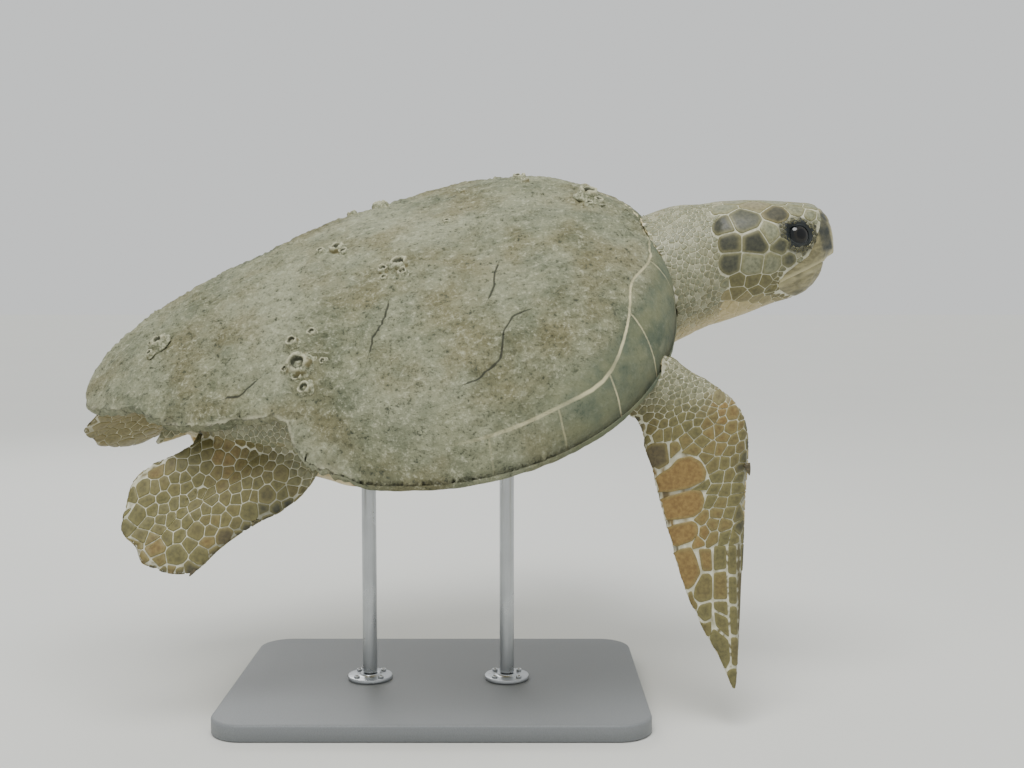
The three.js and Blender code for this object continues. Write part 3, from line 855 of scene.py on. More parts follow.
# %% Plastron
PLASTRON_REACH = through((0, 282), (20, 264), (40, 256), (56, 284), (72, 316), (86, 306),
                         (98, 268), (112, 224), (130, 212), (148, 244), (165, 294), (180, 320))
PLASTRON_THICK = 16


def plastron_point(share, angle, lift=0.0):
    out = share * PLASTRON_REACH(off_the_head(angle))
    x, y = out * np.cos(angle), -out * np.sin(angle)
    z = 84 * abs(y / 315) ** 3 + 16 * np.maximum(0, x / 282) ** 4 + lift - SHELL["depth"]
    return spots_at(x, y, z)


def plastron_seams():
    lines = [((-330, 3), (-100, -3), (80, 3), (230, 0))]
    for side in (1, -1):
        lines += [((x, 0), (x + lean / 2, side * 90), (x + lean, side * reach_y))
                  for x, lean, reach_y in ((228, 40, 70), (150, 34, 250), (60, 10, 200),
                                           (-70, -8, 200), (-190, -30, 240))]
        lines.append(((168, side * 196), (60, side * 206), (-60, side * 206), (-110, side * 190)))
        lines += [((x, side * 204), (x - 4, side * 330)) for x in (100, 30, -45)]
    return lines


share, angle, quads, edge = disc_net(150)
under = plastron_point(share, angle)
spots = under[:, :2] + 3 * rough(under, 40, 91, 2)[:, None]
seam_gap = np.min([distance_to_line(spots, line) for line in plastron_seams()], axis=0)
groove = bell((seam_gap, 0, 1.8))
swell = 1.1 * smoothstep(0, 34, seam_gap) + 0.5 * rough(under, 60, 93, 2)
under[:, 2] -= (swell - 1.3 * groove + 0.12 * rough(under, 5, 95, 2)) * smoothstep(1, 0.97, share)
rings = [plastron_point(np.full(len(edge), out), angle[edge], up * PLASTRON_THICK)
         for out, up in ((1.006, 0.12), (1.008, 0.4), (1.0, 0.75), (0.985, 0.97), (0.8, 1), (0.5, 1))]
points, more = rim_and_underside(under, edge, rings, (0, 0, PLASTRON_THICK - SHELL["depth"]))

f = Finish("plastron_horn", Roughness=0.5)
colour = f.tones(f.noise(46, 4), (206, 188, 138), (222, 208, 166), 0.35, 0.7)
colour = f.tones(f.noise(24, 4, (2, 1, 1)), colour, (176, 140, 88), 0.52, 0.72)
colour = f.tones(f.noise(9, 5), colour, (148, 132, 96), 0.6, 0.8)
colour = f.mix(f.times(f.value("seam"), 0.75), colour, (132, 112, 76))
belly_horn = f.done(colour, f.bump(f.noise(4, 5), 0.35), f.between(f.noise(30), 0.3, 0.7, 0.4, 0.62))
plastron = new_piece("belly_plates", placed(SHELL_FRAME, points), quads.tolist() + more, belly_horn)
set_values(plastron, "seam", np.concatenate([groove, np.zeros(len(points) - len(groove))]))
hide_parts("plastron")
print("plastron:", len(plastron.data.polygons), "faces")

# %% [markdown]
# ## The stand
# A steel plate, two rods in flanges, and a padded rest under the belly. Edges are rounded
# as a workshop would leave them, because a perfectly sharp edge never catches the light.

# %% Stand
def turned(profile, middle, sides=72):
    """Rings of a turned piece from (radius, height) pairs, standing over a place."""
    angle = round_angles(sides)
    return tube([spots_at(middle[0] + r * np.cos(angle), middle[1] + r * np.sin(angle), z)
                 for r, z in profile])


def rounded_plate(half_x, half_y, corner, levels):
    """Rings of a plate with round corners from (inset, height) pairs."""
    angle = np.radians(np.arange(0, 360, 5))
    across = np.sign(np.cos(angle + 0.01)) * (half_x - corner)
    along = np.sign(np.sin(angle + 0.01)) * (half_y - corner)
    return tube([spots_at(across + (corner - inset) * np.cos(angle),
                          along + (corner - inset) * np.sin(angle), z) for inset, z in levels])


def box_of(node):
    low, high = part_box(node)
    return np.array(low) / MM, np.array(high) / MM


f = Finish("satin_steel", Metallic=1.0, Roughness=0.32)
brushed = f.noise(1.2, 3, (1, 1, 30))
steel = f.done(f.mix(brushed, (168, 171, 173), (190, 193, 195)), f.bump(brushed, 0.05),
               f.between(f.noise(30), 0.3, 0.7, 0.26, 0.4))
f = Finish("plinth_paint", Roughness=0.5)
speckle = f.noise(1.4, 3)
paint = f.done(f.tones(speckle, (112, 115, 117), (122, 125, 127), 0.35, 0.65),
               f.bump(speckle, 0.12))
f = Finish("rest_felt", Roughness=0.95, Sheen_Weight=0.3)
fuzz = f.noise(0.9, 4)
felt = f.done(f.mix(fuzz, (44, 46, 48), (76, 78, 80)), f.bump(fuzz, 0.4))

_, high = box_of("stand_base")
foot = high[2]
plinth = new_piece("plinth", *rounded_plate(high[0], high[1], 50, (
    (44, 0), (12, 0), (1.5, 0), (0, 1.5), (0, foot - 4), (0.3, foot - 2.4), (1.2, foot - 1.1),
    (2.4, foot - 0.3), (4, foot), (44, foot))), paint, sharp=50)
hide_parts("stand_base")
screw = turned(((0, 0), (3.6, 0), (4.3, 0.5), (4.3, 2.9), (3.7, 3.5), (2.1, 3.5), (1.9, 1.2)),
               (0, 0), 24)
screw_places = []
for end in ("front", "rear"):
    low, high = box_of("stand_flange_" + end)
    middle, base, top = (low + high) / 2, low[2], high[2]
    flange = turned(((20, base), (33, base), (34, base + 1), (34, base + 4.5), (33.4, base + 5.6),
                     (32, base + 6), (19, base + 6), (16.5, base + 6.5), (15.2, base + 7.6),
                     (14.6, top), (11.5, top)), middle)
    flange = new_piece("flange_" + end, *flange, steel, sharp=40)
    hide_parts("stand_flange_" + end)
    screw_places += [(middle[0] + 26 * math.cos(turn), middle[1] + 26 * math.sin(turn), base + 5.7)
                     for turn in np.radians((45, 135, 225, 315))]
    low, high = box_of("stand_rod_" + end)
    rod = turned(((9.5, low[2]), (11, low[2] + 1), (11, high[2] - 1), (9.5, high[2])), middle)
    rod = new_piece("rod_" + end, *rod, steel, sharp=40)
    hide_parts("stand_rod_" + end)
    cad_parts["stand_pad_" + end].data.materials.clear()
    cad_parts["stand_pad_" + end].data.materials.append(felt)
screws = set_things("flange_screws", loose("screw", *screw), screw_places, [(0, 0, 1)] * 8,
                    [1.0] * 8, steel)
print("stand:", len(screw_places), "screws")

# %% [markdown]
# ## The flesh
# Head, neck, flippers and tail are lofts: rings of points carried along a line. They are
# built here as finely as the eye can see, from the laws of their solids, to be melted
# together into one skin afterwards.

# %% Rings of the neck and head
def oval(sides, x, y, z, wide, up, down, corner=2.0, chin=1.0):
    """An upright ring in the plane across X, squarer as corner passes 2."""
    angle = round_angles(sides)
    c, s = np.cos(angle), np.sin(angle)
    across = np.sign(c) * np.abs(c) ** (2 / corner)
    tall = np.sign(s) * np.abs(s) ** (2 / corner)
    narrow = np.where(s < 0, 1 + (chin - 1) * -s, 1)
    return spots_at(x, y + wide * narrow * across, z + tall * np.where(s > 0, up, down))


NECK = ((150, 30, 598, 104, 72, 62), (205, 30, 606, 118, 88, 84), (255, 24, 614, 122, 97, 98),
        (310, 15, 629, 114, 102, 107), (355, 8, 642, 102, 104, 104), (390, 3, 651, 91, 97, 94),
        (422, 0, 658, 79, 89, 84), (440, 0, 660, 58, 62, 58))
NECK_LINES = [through(*((station[0], station[i]) for station in NECK)) for i in range(1, 6)]
HEAD_FRAME = frame_at((419, 0, 660), rolled(-4, "Z") @ rolled(12, "X"))
HEAD_TOP = through((-6, 91), (0, 91), (45, 93), (85, 92), (118, 90), (138, 88), (148, 84),
                   (156, 76), (163, 66), (168, 54), (172, 38), (174, 23))
HEAD_BOTTOM = through((-6, -93), (0, -92), (45, -77), (85, -61), (115, -52), (135, -42),
                      (148, -29), (156, -15), (160, 0), (164, 8), (169, 12), (174, 15))
HEAD_HALF = through((-6, 84), (0, 85), (30, 84), (60, 79), (90, 68), (120, 55), (145, 41),
                    (158, 30), (167, 20), (171, 13), (174, 6))


def neck_rings():
    return [oval(96, x, *(line(x) for line in NECK_LINES)) for x in np.linspace(150, 440, 60)]


def head_ring(x, sides):
    top, bottom = HEAD_TOP(x), HEAD_BOTTOM(x)
    z = bottom + 0.56 * (top - bottom)
    return oval(sides, x, 0, z, HEAD_HALF(x), top - z, z - bottom, 2.5, 0.72)


def head_rings():
    return placed(HEAD_FRAME, [head_ring(174 - 178 * (1 - way) ** 1.3, 110)
                               for way in np.linspace(0, 1, 80)])


print("the head is", round(float(2 * HEAD_HALF(0))), "mm wide at the back of the skull")

# %% [markdown]
# A flipper is a blade between a leading and a trailing edge. Both edges are smooth curves
# through a few corners, and each ring runs round the blade from one edge to the other.

# %% Rings of the flippers and tail
def smooth_curve(corners, per_span=24):
    """A smooth curve through corners, as a function of the share of its length."""
    corners = np.array(corners, float)
    ends = 2 * corners[:1] - corners[1:2], 2 * corners[-1:] - corners[-2:-1]
    knots = np.concatenate([ends[0], corners, ends[1]])
    steps = np.sqrt(lengths(np.diff(knots, axis=0)))
    t = np.linspace(0, 1, per_span, endpoint=False)[:, None]
    spans = []
    for i in range(1, len(knots) - 2):
        a, b, c, d = knots[i - 1:i + 3]
        before, here, after = steps[i - 1:i + 2]
        leave = (b - a) / before - (c - a) / (before + here) + (c - b) / here
        arrive = (c - b) / here - (d - b) / (here + after) + (d - c) / after
        cubic = 2 * (b - c) + here * (leave + arrive)
        square = 3 * (c - b) - here * (2 * leave + arrive)
        spans.append(cubic * t**3 + square * t**2 + here * leave * t + b)
    line = np.concatenate([*spans, knots[-2:-1]])
    length = np.concatenate([[0], np.cumsum(lengths(np.diff(line, axis=0)))])
    return lambda share: np.stack(
        [np.interp(share, length / length[-1], line[:, k]) for k in range(line.shape[1])], -1)


FRONT_FLIPPER = {
    "leading": smooth_curve(((-40, -66), (20, -46), (56, -20), (86, -3), (112, 16), (130, 40),
                             (138, 70), (139, 105), (136, 160), (134, 225), (131, 310),
                             (128, 380), (124, 428))),
    "trailing": smooth_curve(((-96, 6), (-52, 30), (-14, 56), (-8, 84), (0, 112), (8, 142),
                              (18, 180), (30, 222), (48, 284), (66, 324), (86, 366),
                              (106, 406), (120, 430))),
    "thick": through((0, 92), (0.2, 74), (0.4, 44), (0.6, 28), (0.8, 18), (1, 8)),
    "bow": lambda out, share: 14 * np.sin(np.pi * out) * (share - 0.3),
    "thin": 5,
}
HIND_FLIPPER = {
    "leading": smooth_curve(((-8, -160), (20, -90), (48, -30), (60, 10), (60, 50), (48, 95),
                             (41, 150), (42, 196), (22, 222), (-16, 243))),
    "trailing": smooth_curve(((-84, -160), (-92, -90), (-98, -10), (-100, 60), (-106, 108),
                              (-120, 150), (-118, 182), (-98, 210), (-74, 236), (-46, 234))),
    "thick": through((0, 78), (0.35, 70), (0.55, 48), (0.75, 26), (1, 11)),
    "bow": lambda out, share: 9 * bell((share, 0.42, 0.14)) * np.sin(np.pi * out**1.5),
    "thin": 7,
}


def limb_frame(origin, forward, outward):
    q = Vector(outward).normalized()
    p = Vector(forward)
    p = (p - q * p.dot(q)).normalized()
    n = p.cross(q)
    return frame_at(origin, Matrix((p, q, n)).transposed().to_4x4())


LIMBS = {
    "front_flipper_right": (FRONT_FLIPPER, limb_frame((304, -170, 488), (1, 0, 0), (0, 0, -1)), -1),
    "front_flipper_left": (FRONT_FLIPPER, limb_frame((190, 200, 626), (0.87, 0.46, 0.12),
                                                     (-0.45, 0.87, -0.12)), 1),
    "hind_flipper_right": (HIND_FLIPPER, limb_frame((-206, -150, 388), (0.62, -0.3, -0.72),
                                                    (-0.72, -0.2, -0.63)), -1),
    "hind_flipper_left": (HIND_FLIPPER, limb_frame((-338, 150, 460), (0.1, 0.85, -0.4),
                                                   (-0.92, -0.02, -0.4)), 1),
}


def blade_rings(limb, where, stations=110, sides=84):
    out = 1 - (1 - np.linspace(0, 1, stations)[:, None]) ** 1.25
    angle = round_angles(sides)[None]
    share = (1 + np.cos(angle)) / 2
    front, back = (limb[edge](out[:, 0])[:, None] for edge in ("leading", "trailing"))
    flat = back + (front - back) * share[..., None]
    thin, half = limb["thin"] / 2, limb["thick"](out) / 2
    height = np.sin(angle) * (thin + (half - thin) * (0.25 + 0.75 * share)) + limb["bow"](out, share)
    return placed(where, np.concatenate([flat, height[..., None]], -1))


def tail_rings():
    path = smooth_curve(((-215, 4, -50), (-285, -4, -68), (-330, -20, -80), (-366, -46, -90)))
    way = np.linspace(0, 0.97, 40)
    middle = path(way)
    ahead = path(way + 0.01) - path(way - 0.01)
    side = unit(np.cross(ahead, (0, 0, 1)))
    over = unit(np.cross(side, ahead))
    radius = (46 * (1 - way) ** 0.75)[:, None, None]
    angle = round_angles(40)[None, :, None]
    rings = middle[:, None] + radius * (side[:, None] * np.cos(angle) + over[:, None] * np.sin(angle))
    return placed(SHELL_FRAME, rings)


print(len(LIMBS), "flippers and a tail are drawn")

# %% [markdown]
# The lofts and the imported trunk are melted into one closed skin: a voxel remesh keeps the
# outside of everything that overlaps. First the two hard plates are cut out of the flippers,
# the neck and the tail, so that none of these stands in the shell.

# %% One skin
def packed_shape(node, grow=0.0):
    """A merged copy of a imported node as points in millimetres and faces, grown if asked."""
    work = bmesh.new()
    work.from_mesh(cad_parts[node].data)
    bmesh.ops.remove_doubles(work, verts=work.verts, dist=1e-6)
    work.normal_update()
    points = np.array([v.co + v.normal * grow * MM for v in work.verts]) / MM
    faces = [[v.index for v in face.verts] for face in work.faces]
    work.free()
    return points, faces


def remade(piece, *changes):
    """Puts modifiers on an object one after another, each given as (kind, settings)."""
    for kind, settings in changes:
        modifier = piece.modifiers.new(kind.lower(), kind)
        for setting, value in settings.items():
            setattr(modifier, setting, value)
        fix_shape(piece)


def triples(items, name):
    """Three numbers for each item of a mesh."""
    values = np.empty(len(items) * 3)
    items.foreach_get(name, values)
    return values.reshape(-1, 3)


def points_of(piece):
    return triples(piece.data.vertices, "co") / MM


def normals_of(piece):
    return triples(piece.data.vertex_normals, "vector")


def faces_of(piece):
    return [tuple(face.vertices) for face in piece.data.polygons]


def move_to(piece, points):
    piece.data.vertices.foreach_set("co", (points * MM).ravel())
    piece.data.update()


WEIGHT_STEPS = 20


def weigh(piece, name, weights):
    """A vertex group with the weights given, in steps."""
    group = piece.vertex_groups.new(name=name)
    level = np.rint(np.clip(weights, 0, 1) * WEIGHT_STEPS).astype(int)
    for step in range(1, WEIGHT_STEPS + 1):
        group.add(np.flatnonzero(level == step).tolist(), step / WEIGHT_STEPS, "REPLACE")


flesh = {name: tube(blade_rings(limb, where)) for name, (limb, where, _) in LIMBS.items()}
flesh["neck"], flesh["head"], flesh["tail"] = (tube(rings) for rings in
                                               (neck_rings(), head_rings(), tail_rings()))
flesh["trunk"] = packed_shape("trunk")
plates = loose("plates", *joined([packed_shape(node, 0.5) for node in ("carapace", "plastron")]))
VOXEL = 0.0026
lumps_of_flesh = []
for name, (points, faces) in flesh.items():
    lump = loose("flesh_" + name, points, faces)
    if "flipper" in name or name in ("neck", "tail"):
        remade(lump, ("BOOLEAN", {"operation": "DIFFERENCE", "object": plates, "solver": "EXACT"}))
    lumps_of_flesh.append(lump)
with bpy.context.temp_override(active_object=lumps_of_flesh[0], object=lumps_of_flesh[0],
                               selected_editable_objects=lumps_of_flesh):
    bpy.ops.object.join()
skin = lumps_of_flesh[0]
skin.name = "skin"
bpy.data.objects.remove(plates)
remade(skin, ("REMESH", {"mode": "VOXEL", "voxel_size": VOXEL}))
print("melted skin:", len(skin.data.polygons), "faces")

# %% [markdown]
# The melt leaves small steps and a sharp crease where two lofts cross. The creases are
# smoothed, then every point away from them is put back on its own loft. The mesh is thinned
# where it is plain, but not on the head, and its points sink by the depth of the scales.

# %% Smooth joins
JOINS = (((286, -140, 560), 105), ((196, 176, 628), 105), ((190, 20, 600), 110),
         ((-226, -140, 392), 80), ((-330, 140, 464), 80), ((-300, 0, 440), 70))
COAT = 1.2
SKIN_FACES = 122000

LOFTS = ("front_flipper_right", "front_flipper_left", "hind_flipper_right", "hind_flipper_left",
         "neck", "head", "tail")
loft_tree = BVHTree.FromPolygons(*joined([flesh[name] for name in LOFTS]))
loft_sizes = np.cumsum([len(flesh[name][1]) for name in LOFTS])


def head_of(points):
    """The same places, in the head's own frame."""
    return unplaced(HEAD_FRAME, points)


def nearest_loft(points):
    """For each point the nearest loft's place there, how far it is, and which loft it is."""
    hits = [loft_tree.find_nearest(point) for point in points]
    places = np.array([hit[0] for hit in hits])
    away = np.array([hit[3] for hit in hits])
    return places, away, np.searchsorted(loft_sizes, [hit[2] for hit in hits], side="right")


def join_share(points):
    """1 where two parts of the flesh meet, 0 well away from there."""
    share = np.zeros(len(points))
    for spot, size in JOINS:
        share = np.maximum(share, smoothstep(size, 0.6 * size, lengths(points - spot)))
    nape = bell((head_of(points)[:, 0], -6, 15)) * (points[:, 0] > 350)
    return np.maximum(share, nape)


remade(skin, ("SMOOTH", {"factor": 0.5, "iterations": 2}))
points = points_of(skin)
weigh(skin, "soft", np.maximum(join_share(points), smoothstep(0.8, 4.0, nearest_loft(points)[1])))
weigh(skin, "plain", 1 - smoothstep(-8, 4, head_of(points)[:, 0]) * (points[:, 0] > 350))
remade(skin, ("SMOOTH", {"factor": 0.5, "iterations": 50, "vertex_group": "soft"}))
faces = sum(len(face.vertices) - 2 for face in skin.data.polygons)
remade(skin, ("DECIMATE", {"ratio": SKIN_FACES / faces, "vertex_group": "plain",
                           "vertex_group_factor": 1.0}))
points = points_of(skin)
places, away, _ = nearest_loft(points)
keep = np.maximum(join_share(points), smoothstep(1.5, 5.0, away))[:, None]
move_to(skin, places + (points - places) * keep)
print("thinned skin:", len(skin.data.polygons), "faces")

# %% [markdown]
# ## The head
# The eye decides whether a head looks alive. The lids are a raised ring round a drop-shaped
# opening, and the skin inside the opening drops behind the eyeball. Distances are measured
# on the eyeball, so the same rule serves the sculpting, the colours and the scales.

# %% Round the eye
EYE = {"middle": (111, 42, 47), "looks": (5, 13, 5), "radius": 20}


def mirrored(points):
    """Head places with both sides folded onto one."""
    return np.abs(points * (0, 1, 0)) + points * (1, 0, 1)


def round_the_eye(head_points):
    """Distance outside the lids' edge, and the direction round the eye, from 0 ahead, up."""
    look = unit(np.array(EYE["looks"]))
    ahead = unit((1, 0, 0) - look[0] * look)
    up = np.cross(ahead, look)
    up *= np.sign(up[2])
    arm = mirrored(head_points) - EYE["middle"]
    span = lengths(arm)
    facing = arm @ look / span
    a, b = arm @ ahead / span * EYE["radius"], arm @ up / span * EYE["radius"]
    turn = np.arctan2(b, a)
    corner = bell((turn, 2.62, 0.34))
    edge = 1 / np.hypot(np.cos(turn) / 16.0, np.sin(turn) / 13.2) + 3.6 * corner
    out = np.where(facing > 0, np.hypot(a, b) - edge, 99)
    return out + np.maximum(0, span - 1.12 * EYE["radius"]) * 0.6, turn


def refine(piece, middle, size):
    """Cuts the triangles finer near a place of the head, on both sides."""
    work = bmesh.new()
    work.from_mesh(piece.data)
    points = np.array([v.co for v in work.verts]) / MM
    chosen = lengths(mirrored(head_of(points)) - middle) < size
    edges = [edge for edge in work.edges if chosen[edge.verts[0].index] and chosen[edge.verts[1].index]]
    bmesh.ops.subdivide_edges(work, edges=edges, cuts=1, smooth=0.0)
    bmesh.ops.dissolve_degenerate(work, dist=1e-5, edges=work.edges)
    bmesh.ops.triangulate(work, faces=[face for face in work.faces if len(face.verts) > 3])
    work.to_mesh(piece.data)
    work.free()


for size in (44, 31):
    refine(skin, EYE["middle"], size)
print("with fine lids:", len(skin.data.polygons), "faces")

# %% [markdown]
# Relief is added in one pass. Each rule gives a height in millimetres: lids, brow, the fold
# behind the mouth, wrinkles round the neck, and creases where the flippers bend.

# %% Sculpt the skin
BEAK_EDGE = through((-60, 146), (-48, 114), (-34, 92), (-12, 90), (6, 110), (20, 130), (44, 143),
                    (70, 147), (95, 149))
GAPE = ((90, -21), (108, -12), (126, -5), (142, 2), (160, 7), (190, 10))


def gape_distance(head_points):
    return distance_to_line(head_points[:, (0, 2)], ((60, -38), (76, -30), *GAPE))


def head_relief(head_points):
    x, _, z = head_points.T
    side = abs(head_points[:, 1])
    out, turn = round_the_eye(head_points)
    upper = 0.5 + 0.5 * np.sin(turn)
    lids = (1.9 + 1.4 * upper) * bell((out, 3.4, 3.2))
    lids -= 1.3 * bell((out, 9.5, 2.4)) * (0.5 + 0.5 * upper)
    lids += 0.35 * np.sin(3.1 * out) * smoothstep(0, 2, out) * smoothstep(12, 7, out)
    brow = 1.8 * bell((x, 138, 9), (z, 82, 7), (side, 26, 16))
    crease = -1.6 * bell((x - 151 + 0.25 * (z - 80), 0, 2.2)) * smoothstep(66, 76, z)
    corner = smoothstep(58, 76, x) * smoothstep(100, 88, x)
    fold = -2.2 * corner * bell((gape_distance(head_points), 0, 2.4))
    cheek = 2.2 * bell((x, 62, 34), (z, -22, 26)) * smoothstep(20, 50, side)
    jaw = -1.2 * bell((z + 52 - 0.1 * x, 0, 5)) * smoothstep(8, 20, x) * smoothstep(110, 80, x)
    return lids + brow + crease + fold + cheek + jaw


def neck_relief(points):
    x, _, z = points.T
    wander = 9 * lumps(points, 60, 81) + 4 * lumps(points, 24, 82)
    waves = np.sin(2 * np.pi * (x + 0.25 * z + wander) / 21)
    deep = smoothstep(150, 210, x) * smoothstep(425, 385, x)
    under = 0.45 + 0.55 * smoothstep(690, 560, z)
    return deep * under * (1.5 * (1 - np.abs(waves)) ** 1.5 * -1 + 0.5)


def limb_relief(points, loft):
    height = np.zeros(len(points))
    for index, name in enumerate(LOFTS[:4]):
        mine = loft == index
        p, q, _ = unplaced(LIMBS[name][1], points[mine]).T
        root = smoothstep(60, 10, q) if "front" in name else smoothstep(20, -30, q)
        folds = np.sin(2 * np.pi * (0.8 * p + 0.6 * q + 7 * lumps(points[mine], 30, 83)) / 15)
        height[mine] = -1.1 * root * (1 - np.abs(folds)) ** 2
        if "hind" in name:
            for toe in (((-24, 226), (-37, 176), (-46, 134), (-37, 95)),
                        ((2, 232), (-6, 190), (-12, 150)), ((-60, 226), (-66, 180), (-70, 140))):
                gap = distance_to_line(np.c_[p, q], toe)
                height[mine] -= 1.7 * bell((gap, 0, 3.6)) - 0.8 * bell((gap, 9, 6))
    return height


points, normals = points_of(skin), normals_of(skin)
loft = nearest_loft(points)[2]
in_head = head_of(points)
on_head = smoothstep(-6, 4, in_head[:, 0]) * (points[:, 0] > 380)
height = on_head * head_relief(in_head) + (1 - on_head) * neck_relief(points) * (points[:, 0] > 150)
height += limb_relief(points, loft) + 0.35 * rough(points, 16, 84, 2) * (1 - on_head)
mouth = on_head * smoothstep(86, 94, in_head[:, 0]) * smoothstep(7, 2, gape_distance(in_head))
under_beak = on_head * smoothstep(3, 7, in_head[:, 0] - BEAK_EDGE(in_head[:, 2]))
sunk = points + normals * (height - COAT - np.maximum(3.4 * mouth, 4.6 * under_beak))[:, None]

out, _ = round_the_eye(in_head)
behind = EYE["radius"] + 1.1 - 4.4 * smoothstep(0.6, -2.2, out)
drawn = smoothstep(2.6, 0.2, out) * on_head
back = head_of(sunk)
arm_now = mirrored(back) - EYE["middle"]
span = lengths(arm_now)
clear = np.maximum(span, (EYE["radius"] + 1.2) * (out < 14))
wanted = clear + drawn * (behind - clear)
drawn = np.maximum(drawn, (span < EYE["radius"] + 1.2) & (out < 14) & (on_head > 0))
arm_now *= np.where(drawn > 0, wanted / span, 1)[:, None]
back = np.where(drawn[:, None] > 0, (arm_now + EYE["middle"]) * np.c_[
    np.ones(len(back)), np.sign(back[:, 1]), np.ones(len(back))], back)
sunk = np.where(drawn[:, None] > 0, placed(HEAD_FRAME, back), sunk)
move_to(skin, sunk)
smooth(skin)
print("the skin has", len(skin.data.vertices), "points")

# %% [markdown]
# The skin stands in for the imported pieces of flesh. It gets its finish now, and the finish
# gets its colours once the scales are known.

# %% Skin finish
skin_finish = Finish("living_skin", Roughness=0.55)
skin.data.materials.clear()
skin.data.materials.append(skin_finish.material)
skin.vertex_groups.clear()
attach(skin, "root")
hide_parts("trunk", "neck", "head", "tail", *LIMBS)
print("the skin replaces", 4 + len(LIMBS), "pieces of flesh")

# %% [markdown]
# ## Beak, eyes and claws
# The beak is two sheaths of horn grown over the jaws. Each is a fine net on the head's own
# surface, cut by its outline seen from the side, and given a thickness. Its edges roll under
# the skin behind, and the upper one overhangs the lower along the mouth.

# %% Beak
UPPER_BEAK = ((190, 95), (149, 95), (147, 70), (143, 44), (130, 20), (110, 6), (90, -12))
LOWER_BEAK = ((190, -60), (146, -60), (112, -48), (90, -34))
UPPER_OUTLINE, LOWER_OUTLINE = (*GAPE, *UPPER_BEAK), (*GAPE[:5], (190, -6), *LOWER_BEAK)
MOUTH_LINE = smooth_curve(GAPE)(np.linspace(0, 1, 900))


def inside_outline(spots, corners):
    """Whether plan spots are inside a closed outline."""
    corners = np.array(corners, float)
    crossings = np.zeros(len(spots), int)
    for (x0, z0), (x1, z1) in zip(corners, np.roll(corners, -1, axis=0)):
        if z0 != z1:
            at = x0 + (spots[:, 1] - z0) * (x1 - x0) / (z1 - z0)
            crossings += ((spots[:, 1] > min(z0, z1)) & (spots[:, 1] <= max(z0, z1))
                          & (spots[:, 0] < at))
    return crossings % 2 == 1


def head_net(stations, sides):
    """A fine net on the front of the head, closed at the tip."""
    rows = [head_ring(174 - 92 * (1 - way) ** 1.35, sides) for way in np.linspace(0, 1, stations)]
    tip = rows[-1].mean(0)
    rows += [tip + (rows[-1] - tip) * share + (0.6 * (1 - share), 0, 0) for share in (0.6, 0.25, 0.02)]
    return np.array(rows)


def net_normals(rows):
    along = np.gradient(rows, axis=0)
    around = np.roll(rows, -1, axis=1) - np.roll(rows, 1, axis=1)
    normals = np.cross(around, along).reshape(-1, 3)
    normals /= np.linalg.norm(normals, axis=1, keepdims=True) + 1e-12
    outward = rows.reshape(-1, 3) - rows.reshape(-1, 3).mean(0)
    return normals * np.sign((normals * outward).sum())


def rim_of(faces):
    """The directed sides that only one of the faces has."""
    sides = np.stack([faces, np.roll(faces, -1, axis=1)], -1).reshape(-1, 2)
    known = {tuple(side) for side in sides.tolist()}
    return [(a, b) for a, b in known if (b, a) not in known]


def on_the_gape(points, faces):
    """The points, with those on the rim of the faces along the mouth moved onto its line."""
    rim = np.unique(rim_of(faces))
    rim = rim[distance_to_line(points[rim][:, (0, 2)], MOUTH_LINE) < 1.6]
    moved = points.copy()
    nearest = lengths(points[rim][:, None, (0, 2)] - MOUTH_LINE).argmin(1)
    moved[rim[:, None], (0, 2)] = MOUTH_LINE[nearest]
    return moved


def shell_of(outer, inner, faces):
    """A closed body from chosen faces of an outer skin and the same ones of an inner skin."""
    faces = np.asarray(faces)
    rim = rim_of(faces)
    used, order = np.unique(faces, return_inverse=True)
    place = {old: new for new, old in enumerate(used.tolist())}
    count = len(used)
    faces = order.reshape(faces.shape)
    walls = [(place[b], place[a], place[a] + count, place[b] + count) for a, b in rim]
    body = faces.tolist() + (faces[:, ::-1] + count).tolist() + walls
    return np.concatenate([outer[used], inner[used]]), body, used


f = Finish("beak_horn", Roughness=0.42)
streaks = f.noise(7, 4, (3, 1, 0.8))
colour = f.tones(streaks, (112, 106, 74), (150, 142, 102), 0.35, 0.7)
colour = f.mix(f.times(f.value("pale"), 0.8), colour, (190, 182, 140))
# The band is partly dark horn and partly painted shade, and it paints the nostrils dark as shade.
colour = f.mix(f.value("band"), colour, (44, 48, 42))
beak_horn = f.done(colour, f.bump(f.noise(1.6, 5, (3, 1, 1)), 0.25),
                   f.between(f.noise(12), 0.3, 0.7, 0.34, 0.55))

